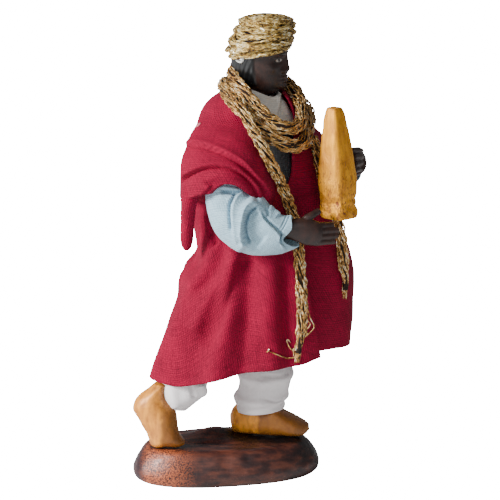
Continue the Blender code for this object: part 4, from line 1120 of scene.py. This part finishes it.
def line_through(points, step):
    """Evenly spaced places along a smooth line through the points."""
    knots = [Vector(point) for point in points]
    fine = [through(knots, i / 600) for i in range(601)]
    run = [0.0]
    for a, b in zip(fine, fine[1:]):
        run.append(run[-1] + (b - a).length)
    count = max(2, round(run[-1] / step))
    places, k = [], 0
    for i in range(count + 1):
        goal = run[-1] * i / count
        while k < len(fine) - 2 and run[k + 1] < goal:
            k += 1
        share = (goal - run[k]) / max(run[k + 1] - run[k], 1e-9)
        places.append(fine[k].lerp(fine[k + 1], min(max(share, 0.0), 1.0)))
    return places


def add_strand(bm, places, radius, number, stitch=1.7):
    """Adds one knitted strand along the places: a thin tube that swells and narrows with its stitches."""
    last = len(places) - 1
    ways = [(places[min(i + 1, last)] - places[max(i - 1, 0)]).normalized() for i in range(last + 1)]
    runs, across, side = [0.0], [], UP
    for a, b in zip(places, places[1:]):
        runs.append(runs[-1] + (b - a).length)
    for way in ways:
        side = (side - way * side.dot(way)).normalized()
        across.append(side)

    def point(u, v):
        i = round(v * (last + 2)) - 1
        if i < 0 or i > last:
            return places[0 if i < 0 else last]
        end = min(1.0, 0.35 + min(i, last - i) * 0.2)
        size = radius * end * (0.84 + 0.24 * abs(math.sin(math.pi * runs[i] / stitch + number * 1.7)))
        angle = math.tau * u
        return places[i] + (across[i] * math.cos(angle) + ways[i].cross(across[i]) * math.sin(angle)) * size

    strand = surface(point, (STRAND_SIDES, last + 2), tube=True)
    layer = strand.loops.layers.uv["cloth"]
    for face in strand.faces:
        for loop in face.loops:
            loop[layer].uv.x += number * 3.7
            loop[layer].uv.y += number * 13.3
    return joined(bm, strand)


def bundle(bm, middle, wide, thick, outward, count, seed, radius=STRAND, turns=0.12, frayed=0):
    """Strands round a middle line: they lie on ovals, wander a little and cross over each other."""
    draw = random.Random(seed)
    last = len(middle) - 1
    frames, run = [], 0.0
    for i, place in enumerate(middle):
        way = (middle[min(i + 1, last)] - middle[max(i - 1, 0)]).normalized()
        out = outward(place)
        out = (out - way * out.dot(way)).normalized()
        run += (place - middle[i - 1]).length if i else 0.0
        frames.append((place, way.cross(out), out, run))
    for number in range(count):
        shifts = [draw.uniform(0, 9) for _ in range(3)]
        row = 1.0 - 0.55 * draw.random() ** 2
        cut = draw.randint(frayed // 2, frayed) if frayed and number % 5 in (1, 3) else 0
        places = []
        for place, flat, out, run in frames[:len(frames) - cut]:
            wander = 0.34 * math.sin(run * 0.4 + shifts[0]) + 0.13 * math.sin(run * 1.1 + shifts[1])
            angle = math.tau * number / count + turns * run + wander
            reach = row * (1 + 0.14 * math.sin(run * 2.1 + shifts[2]))
            reach *= 1 + 0.5 * bump(place.y, 2.0, 5.0) * ease(place.x, 8.0, 12.0)
            if frayed:
                reach *= 1 - 0.6 * ease(run, frames[-1][3] - 8.0, frames[-1][3] - 2.0)
            places.append(place + flat * (math.cos(angle) * wide * reach)
                          + out * (math.sin(angle) * thick * reach))
        bm = add_strand(bm, places, radius * draw.uniform(0.75, 1.25), seed * 31 + number)
    return bm


def marked(bm, label):
    """Gives every vertex of a bmesh the value 1 under a label that a material reads."""
    layer = bm.verts.layers.float.new(label)
    for vert in bm.verts:
        vert[layer] = 1.0
    return bm


def core(middle, wide):
    """The dark inside of a cord, so that no light falls between its strands; its near-black colour is painted
    shade.
    """
    knots = middle[::3] + [middle[-1]]
    points = [(*place, wide, wide) for place in knots]
    return marked(loft(limb_stations(points, UP), (CORE_SIDES, len(knots) * 2)), "inner")


def make_turban(material, tree):
    """A low dome of knitted gold cord, wound round in five layers."""
    rows = [(k / (len(TURBAN) - 1), *row) for k, row in enumerate(TURBAN)]

    def dome(u, v, grow=0.0):
        height, middle, length, width, tilt = lookup(rows, v)
        layers = 0.36 * math.cos(math.tau * (height - 96.6) / 1.9)
        angle = math.tau * u
        c, s = math.cos(angle), math.sin(angle)
        reach = (length + layers + grow) * c
        return Vector((middle + reach, HEAD_Y + (width + layers + grow) * s,
                       height + tilt * reach + grow * (v - 0.5)))

    # The dome under the strands is marked inner and painted near black, as shade between them
    bm = marked(surface(lambda u, v: dome(u, v, -0.5), STEPS["turban"], tube=True, caps=True), "inner")
    draw = random.Random(5)
    for number in range(WINDINGS + CROSSINGS):
        crossing = number >= WINDINGS
        level = 0.13 + 0.80 * number / (WINDINGS - 1) if not crossing else draw.uniform(0.2, 0.8)
        start = draw.uniform(0, 1)
        phase = draw.uniform(0, math.tau)
        lean = draw.uniform(0.07, 0.14) if crossing else draw.uniform(-0.04, 0.04)
        turns = draw.uniform(0.3, 0.5) if crossing else 1.06
        length = 118 if level < 0.8 else 70
        places = []
        for i in range(round(turns * length)):
            u = start + i / length
            wave = 0.014 * math.sin(math.tau * 3 * u + phase) + 0.008 * math.sin(math.tau * 8 * u + 2 * phase)
            rise = lean * (2 * i / (turns * length) - 1) if crossing else lean * math.sin(math.tau * u)
            out = 0.08 if crossing else -0.2
            places.append(dome(u, min(max(level + wave - rise, 0.1), 0.985),
                               out + 0.14 * math.sin(math.tau * 7 * u + 3 * phase)))
        bm = add_strand(bm, places, STRAND * draw.uniform(1.0, 1.6), number, stitch=2.2)
    bm = add_silver(bm, tree)
    return finished("turban_cord", bm, material, "gold_cord", "turban")


# Silvery thread that shows at the nape, drawn on the picture
SILVER_THREADS = [
    [(234.5, 55), (237, 59.5), (240.5, 62), (244, 60), (243, 56)],
    [(236, 53), (238.5, 57.5), (242, 59.5), (245, 57), (243.5, 53)],
    [(238.5, 52.5), (240.5, 56), (243, 57.5), (246, 55.5)]]


def softened(places):
    """Places along a line, each moved towards its neighbours."""
    inner = [(a + 2 * b + c) / 4 for a, b, c in zip(places, places[1:], places[2:])]
    return [places[0]] + inner + [places[-1]]


def on_surface(line, tree, off, count=26):
    """Places where a line drawn on the picture lies on a surface, lifted off it a little."""
    knots = [Vector(knot) for knot in line]
    places, far = [], None
    for i in range(count + 1):
        way = towards(through(knots, i / count))
        hit, normal, _, distance = tree.ray_cast(CAMERA_PLACE * MM, way)
        far = distance / MM if hit else far
        lift = normal * off if hit else way * -off
        if far:
            places.append(CAMERA_PLACE + way * far + lift)
    return softened(places)


def add_silver(bm, tree):
    """The silvery threads at the nape."""
    for number, line in enumerate(SILVER_THREADS):
        strand = add_strand(bmesh.new(), on_surface(line, tree, 0.25), 0.26, number, stitch=1.2)
        bm = joined(bm, marked(strand, "silver"))
    return bm


def from_axis(place):
    """The way out from the body's upright axis."""
    return Vector((place.x - 7.0, place.y + 0.6, 0.0)).normalized() + Vector((0, 0, 0.35))


def off_cloak(places, tree, clearance):
    """Places moved out where they come too near the cloak."""
    for _ in range(4):
        for i, place in enumerate(places):
            touch, normal, _, gap = tree.find_nearest(place * MM)
            above = (place * MM - touch).dot(normal) / MM
            if gap / MM < clearance or (above < 0 and gap / MM < 2 * clearance):
                places[i] = place + normal * (clearance - above)
        places = softened(places)
    return places


# Loose threads at the tips of the scarf's ends, drawn on the picture
NEAR_THREADS = [
    [(304, 300), (306.9, 308.5), (310.4, 319.8), (313.9, 325.4), (311, 331), (302.7, 338), (295.7, 346.4),
        (292.5, 350.6), (296, 354), (300, 357.8), (297.5, 361), (293.6, 363)],
    [(298, 342), (296.5, 350), (294.3, 357.6), (285.9, 357.6), (277.4, 354.8), (268.3, 350.6)],
    [(297, 338), (294.3, 350.6), (288.7, 346.4), (286.6, 340.8), (288.4, 339.6), (291, 343)],
    [(300, 330), (297, 341), (293.5, 352), (295, 357)],
    [(303, 322), (304, 331), (301, 339), (296, 345)],
    [(305.5, 312), (307, 320), (309.5, 324), (305.5, 331)],
    [(268.3, 350.6), (269.5, 348.6)],
    [(268.3, 350.6), (267.2, 352.2)]]
FAR_THREADS = [
    [(343, 276), (342, 284), (341.6, 293)],
    [(344.5, 276), (344.6, 286), (345.4, 293.5)],
    [(342.5, 274), (343.4, 283), (343.6, 290)]]
# Each hanging end: its name, route, node, seed, loose threads and how many steps of it are frayed
SCARF_ENDS = (
    ("scarf_end_near", SCARF_END_RIGHT, "scarf_end_right", 2, NEAR_THREADS, 18),
    ("scarf_end_far", SCARF_END_LEFT, "scarf_end_left", 3, FAR_THREADS, 10))
# Steps by which a cord's dark core is shorter than its strands
CORE_SHORTER = 7


def make_scarf(material, tree):
    """The gold scarf: wound twice round the neck, with two ends that hang in front."""
    wound = off_cloak(line_through(SCARF_WOUND, 0.32), tree, 1.2)
    bm = bundle(core(wound[CORE_SHORTER:], 0.95), wound, 1.45, 1.1, from_axis, 34, 1, 0.155)
    finished("scarf_loops", bm, material, "gold_cord", "scarf_wound")
    for name, route, node_name, seed, threads, frayed in SCARF_ENDS:
        middle = off_cloak(line_through(route, 0.3), tree, 1.1)
        bm = bundle(core(middle[:-CORE_SHORTER], 0.6), middle, 1.15, 0.8,
                    lambda place: Vector((0.2, -1, 0.1)), 22, seed, 0.15, 0.2, frayed)
        item = finished(name, bm, material, "gold_cord", node_name)
        loose = bmesh.new()
        for number, line in enumerate(threads):
            loose = add_strand(loose, on_surface(line, tree, 0.3), 0.15, 70 + number)
        loose = finished(name + "_threads", loose, material, "gold_cord")


# The glue drop: where it is on the picture, and its radius
GLUE_SPOT = [(198.5, 125), (198.6, 125.2)]
GLUE_RADIUS = 0.72


def make_glue_spot(tree):
    """A drop of dried glue on the near shoulder."""
    place = on_surface(GLUE_SPOT, tree, 0.05, 2)[0]
    _, normal, _, _ = tree.find_nearest(place * MM)
    bm = bmesh.new()
    bmesh.ops.create_uvsphere(bm, u_segments=24, v_segments=14, radius=GLUE_RADIUS * MM)
    bmesh.ops.scale(bm, verts=bm.verts[:], vec=(0.85, 1.0, 0.3))
    bmesh.ops.rotate(bm, verts=bm.verts[:], matrix=normal.to_track_quat("Z", "Y").to_matrix())
    bmesh.ops.translate(bm, verts=bm.verts[:], vec=place * MM)
    glue, _, _ = new_material("dried_glue", (0.60, 0.16, 0.19), 0.3, Coat_Weight=0.4, Coat_Roughness=0.1)
    finished("glue_spot", bm, glue, "cloak_cloth")


# Room: half-width of the floor in metres, its glow, the room's own light, and each lamp's place,
# size and power
FLOOR_SIZE, FLOOR_GLOW, ROOM_LIGHT = 4.0, 30.0, 0.23
LAMPS = (("key", (-0.79, -0.40, 0.46), 0.30, 21.0), ("fill", (0.1, -0.9, 0.4), 0.5, 1.2))
LAMP_AIM = Vector((0, 0, 0.05))


def make_room():
    """Pale floor, soft light from the upper left and a weak fill."""
    bm = bmesh.new()
    bmesh.ops.create_grid(bm, x_segments=1, y_segments=1, size=FLOOR_SIZE)
    mesh = bpy.data.meshes.new("floor")
    bm.to_mesh(mesh)
    bm.free()
    paper, tree, shader = new_material("pale_paper", (0.9, 0.9, 0.9), 0.8)
    glow = node(tree, "Emission", {"Color": (1.0, 1.0, 1.0, 1.0), "Strength": FLOOR_GLOW})
    direct = node(tree, "LightPath").outputs["Is Camera Ray"]
    lit = node(tree, "MixShader", {0: times(tree, direct, 0.9), 1: shader.outputs[0], 2: glow.outputs[0]})
    fed(tree, tree.nodes["Material Output"].inputs, Surface=lit.outputs[0])
    mesh.materials.append(paper)
    placed("floor", mesh)
    world = bpy.data.worlds.new("studio")
    bpy.context.scene.world = world
    world.use_nodes = True
    background = world.node_tree.nodes["Background"].inputs
    background["Color"].default_value = (1.0, 1.0, 1.0, 1.0)
    background["Strength"].default_value = ROOM_LIGHT
    for name, place, size, power in LAMPS:
        light = bpy.data.lights.new(name, "AREA")
        light.size = size
        light.energy = power
        lamp = placed(name, light)
        lamp.location = place
        lamp.rotation_euler = (LAMP_AIM - Vector(place)).to_track_quat("-Z", "Y").to_euler()


def tree_of(item):
    """What finds the nearest place on an object's surface."""
    bm = bmesh.new()
    bm.from_mesh(item.data)
    tree = BVHTree.FromBMesh(bm)
    bm.free()
    return tree


# Cloths: colour of the threads' tops and of the gaps (painted shade, and uneven slubs), pitch, unevenness,
# depth of the weave and sheen
CLOTHS = {"cloak_cloth": ((0.35, 0.0, 0.034), (0.09, 0.0, 0.009), 0.5, 0.55, 0.2, 0.0),
          "shirt_cotton": ((0.50, 0.71, 0.82), (0.16, 0.29, 0.38), 0.5, 0.5, 0.24),
          "trouser_cotton": ((0.97, 0.93, 0.93), (0.84, 0.80, 0.80), 0.35, 0.3, 0.10),
          "collar_cotton": ((0.95, 0.92, 0.84), (0.66, 0.62, 0.55), 0.56, 0.4, 0.25),
          "vest_cloth": ((0.32, 0.35, 0.36), (0.14, 0.16, 0.165), 0.45, 0.4, 0.16)}
# Metallic thread, from painted shade between the stitches to its brightest painted highlights
SCARF_GOLD = (
    (0.03, 0.012, 0.005), (0.32, 0.14, 0.035), (0.74, 0.42, 0.11), (0.95, 0.76, 0.42), (1.0, 1.0, 0.95))
TURBAN_GOLD = (
    (0.03, 0.014, 0.004), (0.26, 0.13, 0.025), (0.72, 0.50, 0.13), (0.92, 0.78, 0.42), (1.0, 0.98, 0.86))


def main():
    set_camera()
    weave, brushed = weave_group(), brushed_group()
    cloths = {name: cloth_material(name, weave, *values) for name, values in CLOTHS.items()}
    shoe, skin = shoe_material(brushed), head_material(brushed)
    cloak = make_cloak(cloths["cloak_cloth"])
    cloak_tree = tree_of(cloak)
    make_scarf(gold_material("gold_cord", SCARF_GOLD), cloak_tree)
    make_glue_spot(cloak_tree)
    make_base(base_material(brushed))
    make_shoe("shoe_trailing", SHOE_RIGHT, 1.7, -14.3, shoe, "shoe_right")
    make_shoe("shoe_leading", SHOE_LEFT, 2.6, 7.4, shoe, "shoe_left")
    trousers = make_trousers(cloths["trouser_cotton"])
    vest = make_vest(cloths["vest_cloth"])
    collar = make_collar(cloths["collar_cotton"])
    near_sleeve = make_sleeve("shirt_sleeve_near", SLEEVE_RIGHT, Vector((0, 1, 0)), cloths["shirt_cotton"],
                              "sleeve_right", STEPS["near_sleeve"], near_swell, NEAR_SLEEVE_CREASES, CUFF_NOTCH)
    far_sleeve = make_sleeve("shirt_sleeve_far", SLEEVE_LEFT, LEFT, cloths["shirt_cotton"],
                             "sleeve_left", STEPS["far_sleeve"], far_swell)
    head = make_head(skin)
    make_turban(gold_material("gold_turban", TURBAN_GOLD), tree_of(head))
    make_hand("hand_near", HAND_RIGHT_PALM, HAND_RIGHT_FINGERS, skin, "hand_right")
    make_hand("hand_far", HAND_LEFT_PALM, HAND_LEFT_FINGERS, skin, "hand_left")
    make_instrument(instrument_material(brushed))
    make_room()


main()
